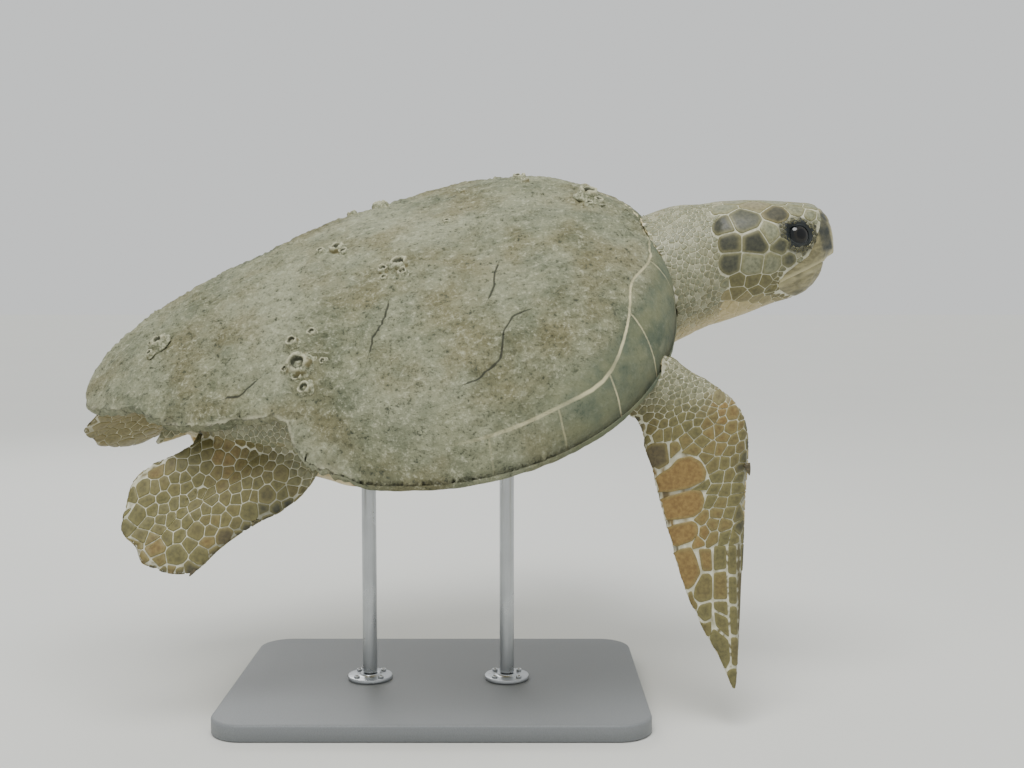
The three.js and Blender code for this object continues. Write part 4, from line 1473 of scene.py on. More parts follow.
rows = head_net(130, 380)
surface, normals = rows.reshape(-1, 3), net_normals(rows)
spots = surface[:, (0, 2)]
quads = net(*rows.shape[:2])
to_gape = distance_to_line(spots, GAPE)
for name, outline, edge in (("beak_upper", UPPER_OUTLINE, UPPER_BEAK),
                            ("beak_lower", LOWER_OUTLINE, LOWER_BEAK)):
    chosen = inside_outline(surface[quads].mean(1)[:, (0, 2)], outline)
    to_skin = distance_to_line(spots, edge[1:])
    snapped = on_the_gape(surface, quads[chosen])
    root = -2.6 + 2.9 * smoothstep(0, 4.5, to_skin)
    if name == "beak_upper":
        height = np.minimum(root, -0.9 + 1.3 * smoothstep(0, 1.8, to_gape))
        nostril = lengths((mirrored(surface) - (159.5, 8.5, 69)) / (2.6, 2.2, 4.0))
        height += 0.8 * bell((nostril, 1.5, 0.5)) - 3.4 * smoothstep(1.2, 0.5, nostril)
        z = surface[:, 2]
        middle = surface[:, 0] - (162 - 0.28 * (z - 24))
        # A dark band down the upper beak: partly the horn's own colour, partly painted shade.
        band = smoothstep(16, 28, z) * smoothstep(84, 74, z) * smoothstep(12, 6, abs(middle))
        # The nostrils are painted dark as shade.
        band = np.maximum(band * (0.92 + 0.2 * lumps(surface, 9, 97)), smoothstep(1.1, 0.5, nostril))
        pale = smoothstep(9, 2, to_gape) + smoothstep(163, 170, surface[:, 0])
    else:
        height = np.minimum(root, -3.4 + 3.0 * smoothstep(0, 6, to_gape))
        band = 0.5 * smoothstep(0.1, 0.6, lumps(surface, 22, 98)) * smoothstep(0, 8, to_skin)
        pale = smoothstep(12, 4, to_gape) * 0.6
    height += 0.25 * rough(surface * (0.4, 1, 1), 6, 96, 2)
    points, body, used = shell_of(snapped + normals * height[:, None], snapped - normals * 4.2,
                                  quads[chosen])
    sheath = new_piece(name + "_sheath", placed(HEAD_FRAME, points), body, beak_horn, sharp=60)
    for mark, values in (("band", band), ("pale", pale)):
        set_values(sheath, mark, np.clip(np.tile(values[used], 2), 0, 1))
    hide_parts(name)
    print(name, len(sheath.data.polygons), "faces")

# %% [markdown]
# The living eye is nearly black, with a brown iris seen only close by, under a wet, clear
# surface. A claw is a small curved cone of dark horn.

# %% Eyes and claws
f = Finish("wet_eye", Roughness=0.05, Specular_IOR_Level=0.35)
iris = f.tones(f.noise(1.4, 4), (22, 22, 20), (36, 33, 27))
colour = f.mix(f.between(f.value("from_pupil"), 7.2, 8.0), (5, 6, 8), iris)
colour = f.tones(f.value("from_pupil"), colour, (12, 16, 18), 10.8, 12.2)
wet_eye = f.done(colour)
f = Finish("claw_horn", Roughness=0.4)
claw_horn = f.done(f.tones(f.noise(3, 4), (62, 56, 40), (96, 86, 60)),
                   f.bump(f.noise(0.8, 4), 0.15))

for name, side in (("eye_right", 1), ("eye_left", -1)):
    turn = np.linspace(0.02, np.pi - 0.02, 60)
    look = Vector((EYE["looks"][0], -side * EYE["looks"][1], EYE["looks"][2])).normalized()
    ball = turned(EYE["radius"] * np.c_[np.sin(turn), np.cos(turn)], (0, 0), 96)
    aimed = frame_at((EYE["middle"][0], -side * EYE["middle"][1], EYE["middle"][2]),
                     look.to_track_quat("Z", "Y").to_matrix().to_4x4())
    eye = new_piece(name + "_ball", placed(HEAD_FRAME @ aimed, ball[0]), ball[1], wet_eye)
    ahead = np.clip(ball[0][:, 2] / EYE["radius"], -1, 1)
    set_values(eye, "from_pupil", EYE["radius"] * np.arccos(ahead))
    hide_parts(name)

CLAWS = {"front": ((138, 118), (0.4, 1)), "hind": ((40, 197), (0.5, 1))}
for limb, (_, where, _) in LIMBS.items():
    kind, _, side = limb.split("_")
    (p, q), aim = CLAWS[kind]
    aim = np.array(aim) / np.hypot(*aim)
    across = np.array((aim[1], -aim[0]))
    rings = []
    for way in np.linspace(0, 0.98, 14):
        angle = np.linspace(0, 2 * np.pi, 24, endpoint=False)
        middle = np.array((p, q)) + aim * (17 * way - 8.5) - across * 2.2 * way**2
        radius = 5 * (1 - way) ** 0.7 + 0.25
        flat = middle + radius * np.cos(angle)[:, None] * across
        rings.append(np.c_[flat, 0.6 * radius * np.sin(angle)])
    points, faces = tube(rings)
    claw = new_piece(f"{kind}_claw_{side}_horn", placed(where, points), faces, claw_horn)
    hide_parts(f"{kind}_claw_{side}")
print("eyes and claws are in")

# %% [markdown]
# ## Markings and painted shade
# Skin and scales are coloured by the same few numbers, worked out at any point of the flesh:
# how much it is belly, how ochre, how dark, how grey. Places on a limb or on the head are
# taken in that part's own frame, so the markings follow each part where it lies.

# %% Markings
NECK_LOFT, HEAD_LOFT, TAIL_LOFT = 4, 5, 6
FRONT_BLADES = list(LIMBS.values())[:2]
DARK_SPOTS = ((33, 61, 75, 15), (3, 67, 68, 12), (50, 79, 44, 11), (89, 67, 39, 10),
              (104, 60, 14, 9), (74, 61, -18, 9), (116, 31, -35, 9), (83, 45, 81, 13),
              (10, 80, 44, 11), (13, 84, 15, 9))
# Lines of painted shade where the front flippers crease.
CREASE_SHADE_LINES = (((-2, 156), (40, 146), (70, 138)), ((8, 195), (60, 186), (70, 178)),
           ((14, 229), (40, 227), (60, 220)))


# The dark number holds dark markings and painted shade: flipper rims, creases, hind roots under the
# shell, round the eyes.
def markings_and_shade(points, normals, loft):
    """Belly, ochre, dark with painted shade, and grey, each from 0 to 1, for points of the flesh."""
    belly, ochre, dark, grey = np.zeros((4, len(points)))
    patch = lumps(points, 46, 101)
    up = (normals @ SHELL_FRAME[:3, :3])[:, 2]
    body = loft >= NECK_LOFT
    belly[body] = smoothstep(-0.15, -0.7, up[body])
    grey[body] = 0.85
    ochre[body] = 0.25 * smoothstep(0.1, 0.8, patch[body])
    for index, (shape, where, side) in enumerate(LIMBS.values()):
        mine = loft == index
        p, q, _ = unplaced(where, points[mine]).T
        facing = side * (normals[mine] @ where[:3, 2])
        belly[mine] = smoothstep(0.1, -0.4, facing)
        # Painted shade where the blade turns edge-on.
        dark[mine] = 0.8 * smoothstep(0.6, 0.25, abs(facing)) * smoothstep(20, 60, q)
        front = index < 2
        root = smoothstep(50, 0, q) if front else smoothstep(30, -20, q)
        ochre[mine] = (1 - root) * (0.28 + 0.22 * patch[mine])
        grey[mine] = 0.7 * root
        if front:
            hind_edge = shape["trailing"](1 - (1 - np.clip(q / 430, 0, 1)) ** 0.9)[:, 0]
            bend = bell((p, 104, 34), (q, 28, 40))
            ochre[mine] = np.clip(ochre[mine] + 0.5 * bend, 0, 1)
            along = smoothstep(88, 112, q) * smoothstep(320, 200, q)
            ochre[mine] += 0.75 * smoothstep(76, 50, p - hind_edge) * along
            # Darker along the leading edge: partly the scales' own dark colour, partly painted shade.
            dark[mine] += 0.75 * smoothstep(112, 134, p) * smoothstep(60, 110, q)
            dark[mine] += 0.5 * bell((p, 12, 24), (q, 98, 18))
            groove = np.min([distance_to_line(np.c_[p, q], line) for line in CREASE_SHADE_LINES], axis=0)
            # Painted shade along the creases, on the upper face.
            dark[mine] += smoothstep(3.4, 0.6, groove) * (facing > -0.2)
        else:
            dark[mine] += 0.7 * smoothstep(18, 44, p) * smoothstep(0, 60, q)
            dark[mine] += 0.35 * smoothstep(190, 230, q)
            # Painted shadow of the shell over the hind flipper's root.
            dark[mine] += 0.6 * smoothstep(-10, -60, q)
            # The hind flippers' undersides keep little of the pale belly colour: painted shade.
            belly[mine] *= 0.2
    on_head = loft == HEAD_LOFT
    spots = mirrored(head_of(points[on_head]))
    x, _, z = spots.T
    low = z - (-26 - 0.18 * x)
    belly[on_head] = smoothstep(6, -34, low)
    grey[on_head] = smoothstep(-20, 24, z) * 0.9
    ochre[on_head] = 0.35 * smoothstep(20, 60, z) + 0.25 * patch[on_head]
    shade = np.zeros(len(spots))
    for *middle, size in DARK_SPOTS:
        shade = np.maximum(shade, bell((lengths(spots - middle), 0, size)))
    # Dark round the eye: the lids' own dark skin and painted shade of the eye socket.
    dark[on_head] = np.maximum(0.75 * shade, smoothstep(11, 8, round_the_eye(spots)[0]))
    values = np.clip((belly, ochre, dark, grey), 0, 1)
    return dict(zip(("belly", "ochre", "dark", "grey"), values))


skin_points, skin_normals = points_of(skin), normals_of(skin)
loft = np.where((nearest_loft(skin_points)[1] > 9) & (loft < NECK_LOFT), NECK_LOFT, loft)
skin_marks = markings_and_shade(skin_points, skin_normals, loft)
print("share of belly on the skin:", round(float(skin_marks["belly"].mean()), 2))

# %% [markdown]
# ## Scales
# Loggerhead skin is tiled: granules on the neck and shoulders, many-sided scales on the
# flippers with large ones along the hind edge, and broad plates on the head. Each tile is a
# solid scale. First every place on the skin gets a tile size, a thickness, a seam and a stretch.

# %% Sizes of the scales
PLATES = (((3, 67, 68), 16), ((33, 61, 75), 19), ((83, 45, 81), 17), ((74, 68, 56), 12),
          ((50, 79, 44), 15), ((10, 80, 44), 15), ((13, 84, 15), 16), ((89, 67, 39), 11),
          ((103, 62, 14), 11), ((46, 82, 12), 16), ((77, 72, 10), 14),
          ((2, 32, 88), 15), ((56, 28, 91), 17), ((112, 30, 83), 12), ((136, 12, 86), 11),
          ((24, 0, 92), 15), ((86, 0, 92), 17), ((116, 8, 88), 10), ((132, 31, 74), 9))
FRONT_TILES = ((95, 16, 10), (115, 38, 10), (112, 58, 9))
HIND_TILES = ((32, 55, 12), (32, 86, 12), (34, 133, 12), (2, 157, 11), (8, 200, 12), (-20, 214, 11),
              (30, 176, 10), (-112, 186, 9), (-74, 206, 11), (-92, 212, 9), (24, 20, 11))
DRAWN_TILES = [np.array(tile, float) for tile in (
    ((-12, 92), (2, 80), (23, 79), (27, 108), (-2, 126)),
    ((26, 79), (37, 76), (43, 87), (33, 97), (27, 103)),
    ((-2, 134), (27, 114), (38, 101), (55, 97), (70, 105), (78, 119), (76, 132), (54, 143), (5, 154)),
    ((8, 160), (40, 150), (60, 144), (72, 147), (76, 160), (72, 175), (62, 183), (15, 192)),
    ((17, 198), (59, 188), (67, 194), (68, 207), (60, 217), (40, 225), (21, 227)),
    ((28, 232), (58, 225), (66, 241), (72, 262), (62, 281), (48, 291), (35, 262)),
    ((74, 263), (84, 263), (88, 268), (88, 300), (71, 305), (62, 297), (64, 282)),
    ((50, 293), (60, 287), (63, 300), (69, 308), (66, 318), (58, 314)),
    ((71, 308), (88, 303), (88, 327), (78, 332), (66, 321)),
    ((70, 330), (77, 335), (88, 330), (88, 350), (80, 357)),
    ((68, 228), (86, 228), (88, 260), (74, 260)), ((90, 224), (107, 224), (108, 257), (90, 259)),
    ((90, 262), (108, 260), (110, 300), (90, 300)), ((90, 303), (110, 303), (111, 324), (91, 314)),
    ((91, 317), (111, 327), (113, 355), (94, 338)),
    ((91, 341), (112, 358), (115, 387), (108, 402), (82, 358)),
    ((110, 224), (122, 224), (123, 266), (110, 264)), ((111, 268), (123, 269), (124, 308), (112, 306)),
    ((113, 310), (124, 311), (126, 352), (115, 350)), ((115, 354), (126, 355), (126, 396), (117, 394)),
    ((110, 404), (117, 398), (127, 400), (126, 440), (117, 446)),
    ((125, 224), (138, 224), (138, 262), (126, 262)), ((126, 265), (138, 265), (138, 304), (127, 304)),
    ((127, 307), (138, 307), (137, 348), (128, 348)), ((128, 351), (137, 351), (135, 388), (128, 388)),
)]


def off_the_beak(spots):
    """How far places in the head's frame are from where the beak comes out of the skin."""
    flat = spots[:, (0, 2)]
    return np.minimum(*(distance_to_line(flat, edge[1:]) for edge in (UPPER_BEAK, LOWER_BEAK)))


def tile_sizes(points, loft):
    """Spacing, thickness, seam width and stretch of the scales at points of the skin."""
    size, thick = np.full(len(points), 8.5), np.full(len(points), 0.75)
    seam, stretch = np.full(len(points), 0.6), np.full(len(points), 1.15)
    for index, (_, where, _) in enumerate(LIMBS.values()):
        mine = loft == index
        p, q, _ = unplaced(where, points[mine]).T
        if index < 2:
            size[mine] = 7.2 + 7.3 * smoothstep(0, 84, q) - 4 * smoothstep(330, 420, q)
            stretch[mine] = 1.35 + 0.55 * smoothstep(170, 260, q) * smoothstep(95, 115, p)
        else:
            size[mine] = 7.5 + 7 * smoothstep(-50, 60, q)
        thick[mine] = 0.75 + 0.5 * smoothstep(7, 13, size[mine])
        seam[mine] = 0.55 + 0.45 * smoothstep(7, 13, size[mine])
    neck = loft == NECK_LOFT
    size[neck] = 7.4 + 1.0 * smoothstep(640, 560, points[neck, 2])
    stretch[neck] = 1.25
    head = loft == HEAD_LOFT
    spots = mirrored(head_of(points[head]))
    out = round_the_eye(spots)[0]
    side = smoothstep(14, -6, spots[:, 2]) * smoothstep(0, 20, spots[:, 0])
    nape = smoothstep(10, -6, spots[:, 0])
    size[head] = 13 + 6 * side - 5 * nape
    size[head] = np.where(out < 9, 4.4, size[head])
    thick[head] = 1.1 - 0.55 * side - 0.3 * (out < 9)
    seam[head] = 1.2 - 0.5 * side - 0.4 * nape - 0.7 * (out < 9)
    by_beak = off_the_beak(spots) < 13
    size[head] = np.where(by_beak, np.minimum(size[head], 8.0), size[head])
    stretch[head] = 1.05
    return size, thick, seam, stretch


print(len(PLATES), "plates drawn on the head,", len(DRAWN_TILES), "scales on a front flipper")

# %% [markdown]
# The listed tiles come first. Then seeds are thrown on the skin at random and kept where
# no other is too near. Moving each seed once to the middle of its tile evens the pattern.

# %% Seeds
SEED_SHARE = 1.0
THROWS_PER_TILE = 11
PACKED = 0.86
CELL = 13.0
triangles = np.array(faces_of(skin))
skin_tree = BVHTree.FromPolygons(skin_points, triangles.tolist())
hard_tree = BVHTree.FromPolygons(*joined([(points_of(plate), faces_of(plate))
                                          for plate in (carapace, plastron)]))
size, thick, seam, stretch = tile_sizes(skin_points, loft)
FIELDS = np.stack([size / 2, thick, seam, stretch], -1)


def tree_of(places):
    tree = KDTree(len(places))
    for i, place in enumerate(places):
        tree.insert(place, i)
    tree.balance()
    return tree


def on_skin(spots):
    """The nearest places on the skin, with normals, triangles and corner shares."""
    hits = [skin_tree.find_nearest(spot) for spot in spots]
    places, which = np.array([hit[0] for hit in hits]), np.array([hit[2] for hit in hits])
    a, b, c = (skin_points[triangles[which, k]] for k in range(3))
    whole = lengths(np.cross(b - a, c - a)) + 1e-9
    shares = np.stack([lengths(np.cross(v - places, w - places))
                       for v, w in ((b, c), (c, a), (a, b))], -1) / whole[:, None]
    shares /= shares.sum(1, keepdims=True)
    return places, unit(carried(skin_normals, which, shares)), which, shares


def carried(values, which, shares):
    """Values of the skin's points at places inside its triangles."""
    return (values[triangles[which]] * shares.reshape(len(which), 3, *[1] * (values.ndim - 1))).sum(1)


START_OUT, LOOK_IN = 40, 60.0


def dropped(where, side, p, q):
    """Where lines square to a blade first meet the skin, on the upper face and the lower."""
    spots = []
    for face in (side, -side):
        way = Vector(where[:3, 2]) * face
        start = Vector(placed(where, (p, q, 0))) + START_OUT * way
        hit = skin_tree.ray_cast(start, -way, LOOK_IN)
        if hit[0] is not None and hit[1] @ way >= 0.15:
            spots.append(np.array(hit[0]))
    return spots


def chosen_tiles():
    """The places and half sizes of the listed tiles."""
    chosen = [(placed(HEAD_FRAME, (x, side * y, z)), size) for (x, y, z), size in PLATES
              for side in ((1, -1) if y else (1,))]
    for index, (_, where, side) in enumerate(LIMBS.values()):
        chosen += [(spot, size) for p, q, size in (FRONT_TILES if index < 2 else HIND_TILES)
                   for spot in dropped(where, side, p, q)]
    spots, sizes = zip(*chosen)
    return np.array(spots), np.array(sizes, float)


def kept_clear(places, radius, loft_at):
    """Whether thrown seeds keep clear of the plates of the head and of the drawn outlines."""
    in_head = head_of(places)
    spots = mirrored(in_head)
    lowest = np.minimum(2 + 0.04 * spots[:, 0], 30 - 0.35 * (spots[:, 0] - 60))
    plated = (spots[:, 0] > -9) & (spots[:, 2] > lowest) & (round_the_eye(in_head)[0] > 6.5)
    plated &= (off_the_beak(spots) > 9) | (spots[:, 2] > 76)
    clear = ~((loft_at == HEAD_LOFT) & plated)
    for index, (_, where, _) in enumerate(FRONT_BLADES):
        mine = np.flatnonzero(loft_at == index)
        flat = unplaced(where, places[mine])[:, :2]
        for tile in DRAWN_TILES:
            near = distance_to_line(flat, [*tile, tile[0]]) < 0.8 * radius[mine]
            clear[mine] &= ~(near | inside_outline(flat, tile))
    return clear


def thrown_seeds():
    rng = np.random.default_rng(7)
    a, b, c = (skin_points[triangles[:, k]] for k in range(3))
    area = lengths(np.cross(b - a, c - a)) / 2
    weight = area / (FIELDS[triangles, 0].mean(1) * 2) ** 2
    count = int(weight.sum() * THROWS_PER_TILE * SEED_SHARE)
    which = rng.choice(len(triangles), count, p=weight / weight.sum())
    shares = rng.dirichlet((1, 1, 1), count)
    places = carried(skin_points, which, shares)
    radius = carried(FIELDS, which, shares)[:, 0]
    normals = carried(skin_normals, which, shares)
    big, big_size = chosen_tiles()
    big, big_normals, *_ = on_skin(big)
    open_ = kept_clear(places, radius, loft[triangles[which, shares.argmax(1)]])
    for spot, normal, r in zip(big, big_normals, big_size):
        near = lengths(places - spot) < PACKED * (r + radius)
        open_ &= ~(near & (normals @ normal > 0))
    seeds, sizes, grid = [*big], [*big_size], {}
    for i in np.flatnonzero(open_):
        x, y, z = places[i]
        r = radius[i]
        home = (int(x // CELL), int(y // CELL), int(z // CELL))
        if not any((x - ox) ** 2 + (y - oy) ** 2 + (z - oz) ** 2 < (PACKED * (r + other)) ** 2
                   for near in product(*((h - 1, h, h + 1) for h in home))
                   for ox, oy, oz, other in grid.get(near, ())):
            grid.setdefault(home, []).append((x, y, z, r))
            seeds.append(places[i])
            sizes.append(r)
    return np.array(seeds), np.array(sizes)


seeds, seed_sizes = thrown_seeds()
print(len(seeds), "seeds")

# %% [markdown]
# A tile is the ground nearer to its seed than to any other seed: a polygon cut by a straight
# line against each neighbour. Large tiles push their lines outwards. The lines are also moved
# in by half a seam, which leaves the pale skin showing between the scales.

# %% Outlines of the tiles
def lie_of(places, normals, which_loft):
    """For each seed two directions on the skin: along the lie of the scales, and across."""
    along = np.tile(np.array((1.0, 0, 0)), (len(places), 1))
    for index, (_, where, _) in enumerate(LIMBS.values()):
        mine = which_loft == index
        q = unplaced(where, places[mine])[:, 1]
        lean = -1.2 if index < 2 else 0.25
        slope = lean * smoothstep(250, 130, q)[:, None]
        along[mine] = where[:3, 1] + slope * where[:3, 0]
    along[which_loft == NECK_LOFT] = (0.25, 0, 1)
    along -= normals * np.einsum("ij,ij->i", along, normals)[:, None]
    along /= np.linalg.norm(along, axis=1, keepdims=True) + 1e-9
    return along, np.cross(normals, along)


CIRCLE = [(math.cos(t), math.sin(t)) for t in np.linspace(0, 2 * math.pi, 12, endpoint=False)]
LARGE = 9
NEIGHBOURS, NEIGHBOURS_OF_LARGE = 20, 90


def clipped(polygon, ux, uy, limit):
    """The part of a polygon on the near side of a line."""
    kept = []
    ax, ay = polygon[-1]
    a = ax * ux + ay * uy - limit
    for bx, by in polygon:
        b = bx * ux + by * uy - limit
        if (a < 0) != (b < 0):
            t = a / (a - b)
            kept.append((ax + (bx - ax) * t, ay + (by - ay) * t))
        if b < 0:
            kept.append((bx, by))
        ax, ay, a = bx, by, b
    return kept


def outlines(places, normals, along, across, sizes, seams, stretches, which_loft):
    """The outline of every tile on its own tangent plane, as (along, across) corners."""
    tree, polygons = tree_of(places), []
    for i, place in enumerate(places):
        radius, k = sizes[i], stretches[i]

        def cut_across(polygon, arm, share, push=0.0):
            """What is left of a polygon when it is cut square to an arm, a share of the way out."""
            x, y = arm @ along[i] / k, arm @ across[i]
            length = math.hypot(x, y) + 1e-6
            x, y = x / length, y / length
            limit = (length + push / length) * share
            return clipped(polygon, x, y, limit - seams[i] * share * math.hypot(x / k, y))

        near = np.array([j for _, j, _ in tree.find_range(place, 2.1 * radius + 24) if j != i])
        arms = places[near] - place
        many = NEIGHBOURS_OF_LARGE if radius > LARGE else NEIGHBOURS
        near = near[np.argsort((arms**2).sum(1) - sizes[near] ** 2)[:many]]
        spread = radius * 2.1
        polygon = [(x * spread, y * spread) for x, y in CIRCLE]
        for j in near:
            if normals[i] @ normals[j] >= 0.1:
                polygon = cut_across(polygon, places[j] - place, 0.5, radius**2 - sizes[j] ** 2)
                if len(polygon) < 3:
                    break
        for tile in DRAWN_TILES if which_loft[i] < 2 else ():
            where = FRONT_BLADES[which_loft[i]][1]
            flat = unplaced(where, place)[:2]
            arm = where[:3, :2] @ (nearest_on(tile, flat) - flat)
            if lengths(arm) <= 3 * radius:
                polygon = cut_across(polygon, arm, 1.0) or polygon
        polygons.append([(x * k, y) for x, y in polygon])
    return polygons


def nearest_on(outline, spot):
    """The place on a closed outline that is nearest to a spot."""
    after = np.roll(outline, -1, axis=0) - outline
    share = np.clip(((spot - outline) * after).sum(1) / (after**2).sum(1), 0, 1)
    on_sides = outline + after * share[:, None]
    return on_sides[lengths(on_sides - spot).argmin()]


def middle_of(polygon):
    """The centre of a polygon's area, and its area."""
    area = cx = cy = 0.0
    ax, ay = polygon[-1]
    for bx, by in polygon:
        cut = ax * by - bx * ay
        area, cx, cy = area + cut, cx + (ax + bx) * cut, cy + (ay + by) * cut
        ax, ay = bx, by
    return (cx / (3 * area), cy / (3 * area), area / 2) if abs(area) > 1e-9 else (0, 0, 0)


WAYS = [Vector((math.cos(t) * s, math.sin(t) * s, math.sqrt(1 - s * s)))
        for s, steps in ((0, 1), (0.6, 5), (0.92, 8)) for t in np.linspace(0.1, 6.38, steps, False)]


SHELL_NEAR = 90.0


def shut_in(place, normal):
    """Whether every way out from a place on the skin soon meets the shell."""
    turn = Vector(normal).to_track_quat("Z", "Y")
    hits = (hard_tree.ray_cast(Vector(place), turn @ way, SHELL_NEAR) for way in WAYS)
    return all(hit[0] is not None for hit in hits)


chosen_count = len(chosen_tiles()[0])
for lap in range(2):
    places, normals, which, shares = on_skin(seeds)
    fields = carried(FIELDS, which, shares)
    which_loft = loft[triangles[which, shares.argmax(1)]]
    if lap == 0:
        covered = np.array([shut_in(place, normal) for place, normal in zip(places, normals)])
        in_head = head_of(places)
        bare = round_the_eye(in_head)[0] < 2.6
        for outline in (UPPER_OUTLINE, LOWER_OUTLINE):
            bare |= inside_outline(in_head[:, (0, 2)], outline)
        gone = covered | ((which_loft == HEAD_LOFT) & bare)
    sizes = seed_sizes.copy()
    sizes[chosen_count:] = fields[chosen_count:, 0]
    along, across = lie_of(places, normals, which_loft)
    polygons = outlines(places, normals, along, across, sizes, *fields[:, 2:].T, which_loft)
    if lap == 0:
        middles = np.array([middle_of(polygon)[:2] if len(polygon) > 2 else (0, 0)
                            for polygon in polygons])
        middles[:chosen_count] *= 0.3
        seeds = places + middles[:, :1] * along + middles[:, 1:] * across
extra = [(spot, tile - tile.mean(0), index)
         for index, (_, where, side) in enumerate(FRONT_BLADES)
         for tile in DRAWN_TILES for spot in dropped(where, side, *tile.mean(0))]
spots, tiles, blades = zip(*extra)
extra_places, extra_normals, *_ = on_skin(spots)
axes = np.array([FRONT_BLADES[index][1][:3, :2] for index in blades])
polygons += [[tuple(corner) for corner in tile] for tile in tiles]
places, normals, along, across, fields, sizes, which_loft, gone = (
    np.concatenate(pair) for pair in (
        (places, extra_places), (normals, extra_normals), (along, axes[..., 0]),
        (across, axes[..., 1]), (fields, np.tile((18.0, 1.3, 1.0, 1.0), (len(extra), 1))),
        (sizes, np.full(len(extra), 18.0)), (which_loft, blades), (gone, np.zeros(len(extra), bool))))
print(int((~gone).sum()), "tiles in sight")

# %% [markdown]
# Each outline has its corners cut so that they look round, and is carried up over the skin
# in rings: a skirt just under the skin, a quick rise, a soft shoulder and a flat top.
# Large tiles get rings enough to follow the skin and to carry faint lines of growth.

# %% Solid scales
LONG_SIDED = 6
FOLLOWS_SKIN = 4.0
SMALLEST_AREA = 1.5


def rounded(polygon, radius):
    """An outline whose corners are rounded, with a step along each long side."""
    corners = np.array(polygon)
    back, on = np.roll(corners, 1, axis=0) - corners, np.roll(corners, -1, axis=0) - corners
    far_back, far_on = (lengths(way)[:, None] + 1e-9 for way in (back, on))
    cut = np.minimum(0.16 * radius + 0.3, 0.4 * np.minimum(far_back, far_on))
    back, on = back / far_back, on / far_on
    steps = [corners + cut * back, corners + cut * on]
    if radius > LONG_SIDED:
        steps.insert(1, corners + 0.28 * cut * (back + on))
        steps.append(corners + on * far_on / 2)
    return np.stack(steps, 1).reshape(-1, 2)


def tile_mesh(i, outline):
    """Points of one scale with its rim value, flat place and faces."""
    middle = outline.mean(0)
    radius = lengths(outline - middle).mean()
    large = radius > LARGE
    t = fields[i, 1]
    levels = [(0.0, -0.6), (0.12, 0.4 * t), (0.55, 0.85 * t), (1.8, t)]
    if large:
        levels += [(6.0, 1.04 * t), (10.5, 1.0 * t), (15.0, 1.06 * t)]
    rings, rims = [], []
    for inset, height in levels:
        share = 1 - inset / radius
        if share > 0.12:
            rings.append((middle + (outline - middle) * share, height))
            rims.append(min(1, inset / 10.0) if large else min(1, inset / (0.6 * radius)))
    flat = np.concatenate([ring for ring, _ in rings] + [middle[None]])
    heights = np.concatenate([np.full(len(outline), h) for _, h in rings] + [[rings[-1][1]]])
    spots = places[i] + flat[:, :1] * along[i] + flat[:, 1:] * across[i]
    lift = normals[i]
    if radius > FOLLOWS_SKIN:
        found, limits = [], np.full(len(outline), np.inf)
        heart = places[i] + middle[0] * along[i] + middle[1] * across[i]
        for k, spot in enumerate(spots):
            column = k % len(outline)
            arm = spot - heart
            length = lengths(arm) + 1e-6
            share = min(1.0, limits[column] / length)
            while True:
                hit = skin_tree.ray_cast(Vector(heart + share * arm + 8 * lift), -Vector(lift), 14.0)
                if hit[0] is not None and hit[1] @ Vector(lift) > 0.3 or share < 0.1:
                    break
                share -= 0.07
                limits[column] = share * length
            if hit[0] is None:
                hit = skin_tree.find_nearest(spot)
            found.append((hit[0], hit[1]))
        spots = np.array([place for place, _ in found])
        lift = unit(0.4 * normals[i] + np.array([normal for _, normal in found]))
    solid = spots + lift * heights[:, None]
    columns, rows = len(outline), len(rings)
    faces = net(rows, columns).tolist()
    last = (rows - 1) * columns
    faces += [(last + k, last + (k + 1) % columns, len(solid) - 1) for k in range(columns)]
    faces.append(tuple(range(columns - 1, -1, -1)))
    if np.cross(along[i], across[i]) @ normals[i] < 0:
        faces = [face[::-1] for face in faces]
    rim = np.concatenate([np.full(columns, r) for r in rims] + [[1.0]])
    return solid, faces, rim, flat / (radius + 1e-6)


def flat_places(piece):
    """A flat layout of the skin's own shape, as one place for each corner of a coarse copy."""
    copy = linked("layout", piece.data.copy())
    remade(copy, ("DECIMATE", {"ratio": 0.12}), ("TRIANGULATE", {}))
    bpy.context.view_layer.objects.active = copy
    copy.select_set(True)
    bpy.ops.object.mode_set(mode="EDIT")
    bpy.ops.mesh.select_all(action="SELECT")
    bpy.ops.uv.smart_project(angle_limit=math.radians(60), island_margin=0.003)
    bpy.ops.object.mode_set(mode="OBJECT")
    corners = np.array(faces_of(copy))
    flat = np.empty(len(corners) * 6)
    copy.data.uv_layers.active.data.foreach_get("uv", flat)
    points = points_of(copy)
    bpy.data.objects.remove(copy)
    return points, corners, flat.reshape(-1, 3, 2)


layout_points, layout_corners, layout = flat_places(skin)
layout_tree = BVHTree.FromPolygons(layout_points, layout_corners.tolist())
PATCH = 0.0014


def root_on_layout(place):
    hit = layout_tree.find_nearest(place)
    a, b, c = layout_points[layout_corners[hit[2]]]
    spot = np.array(hit[0])
    shares = np.array([lengths(np.cross(v - spot, w - spot)) for v, w in ((b, c), (c, a), (a, b))])
    return shares / shares.sum() @ layout[hit[2]]


def coat_piece(name, members, finish):
    """One joined mesh of scales, with its marks, and a patch of layout for each scale."""
    tiles = [tile_mesh(i, rounded(polygons[i], sizes[i])) for i in members]
    points, faces = joined([tile[:2] for tile in tiles])
    piece = new_piece(name, points, faces, finish)
    flats = np.concatenate([root_on_layout(places[i]) + PATCH * np.clip(tile[3], -1.2, 1.2)
                            for i, tile in zip(members, tiles)])
    marks_at = np.repeat(members, [len(tile[0]) for tile in tiles])
    corner_points = [corner for face in faces_of(piece) for corner in face]
    piece.data.uv_layers.new(name="OFBake").data.foreach_set("uv", flats[corner_points].ravel())
    marks = {"rim": np.concatenate([tile[2] for tile in tiles]), "tone": chances[marks_at, 0],
             "painted_glint": chances[marks_at, 1]}
    marks |= {mark: values[marks_at] for mark, values in tile_marks.items()}
    for mark, values in marks.items():
        set_values(piece, mark, values)
    triangles_in = sum(len(face) - 2 for face in faces)
    print(f"{name}: {len(members)} scales, {triangles_in} triangles")
    return piece


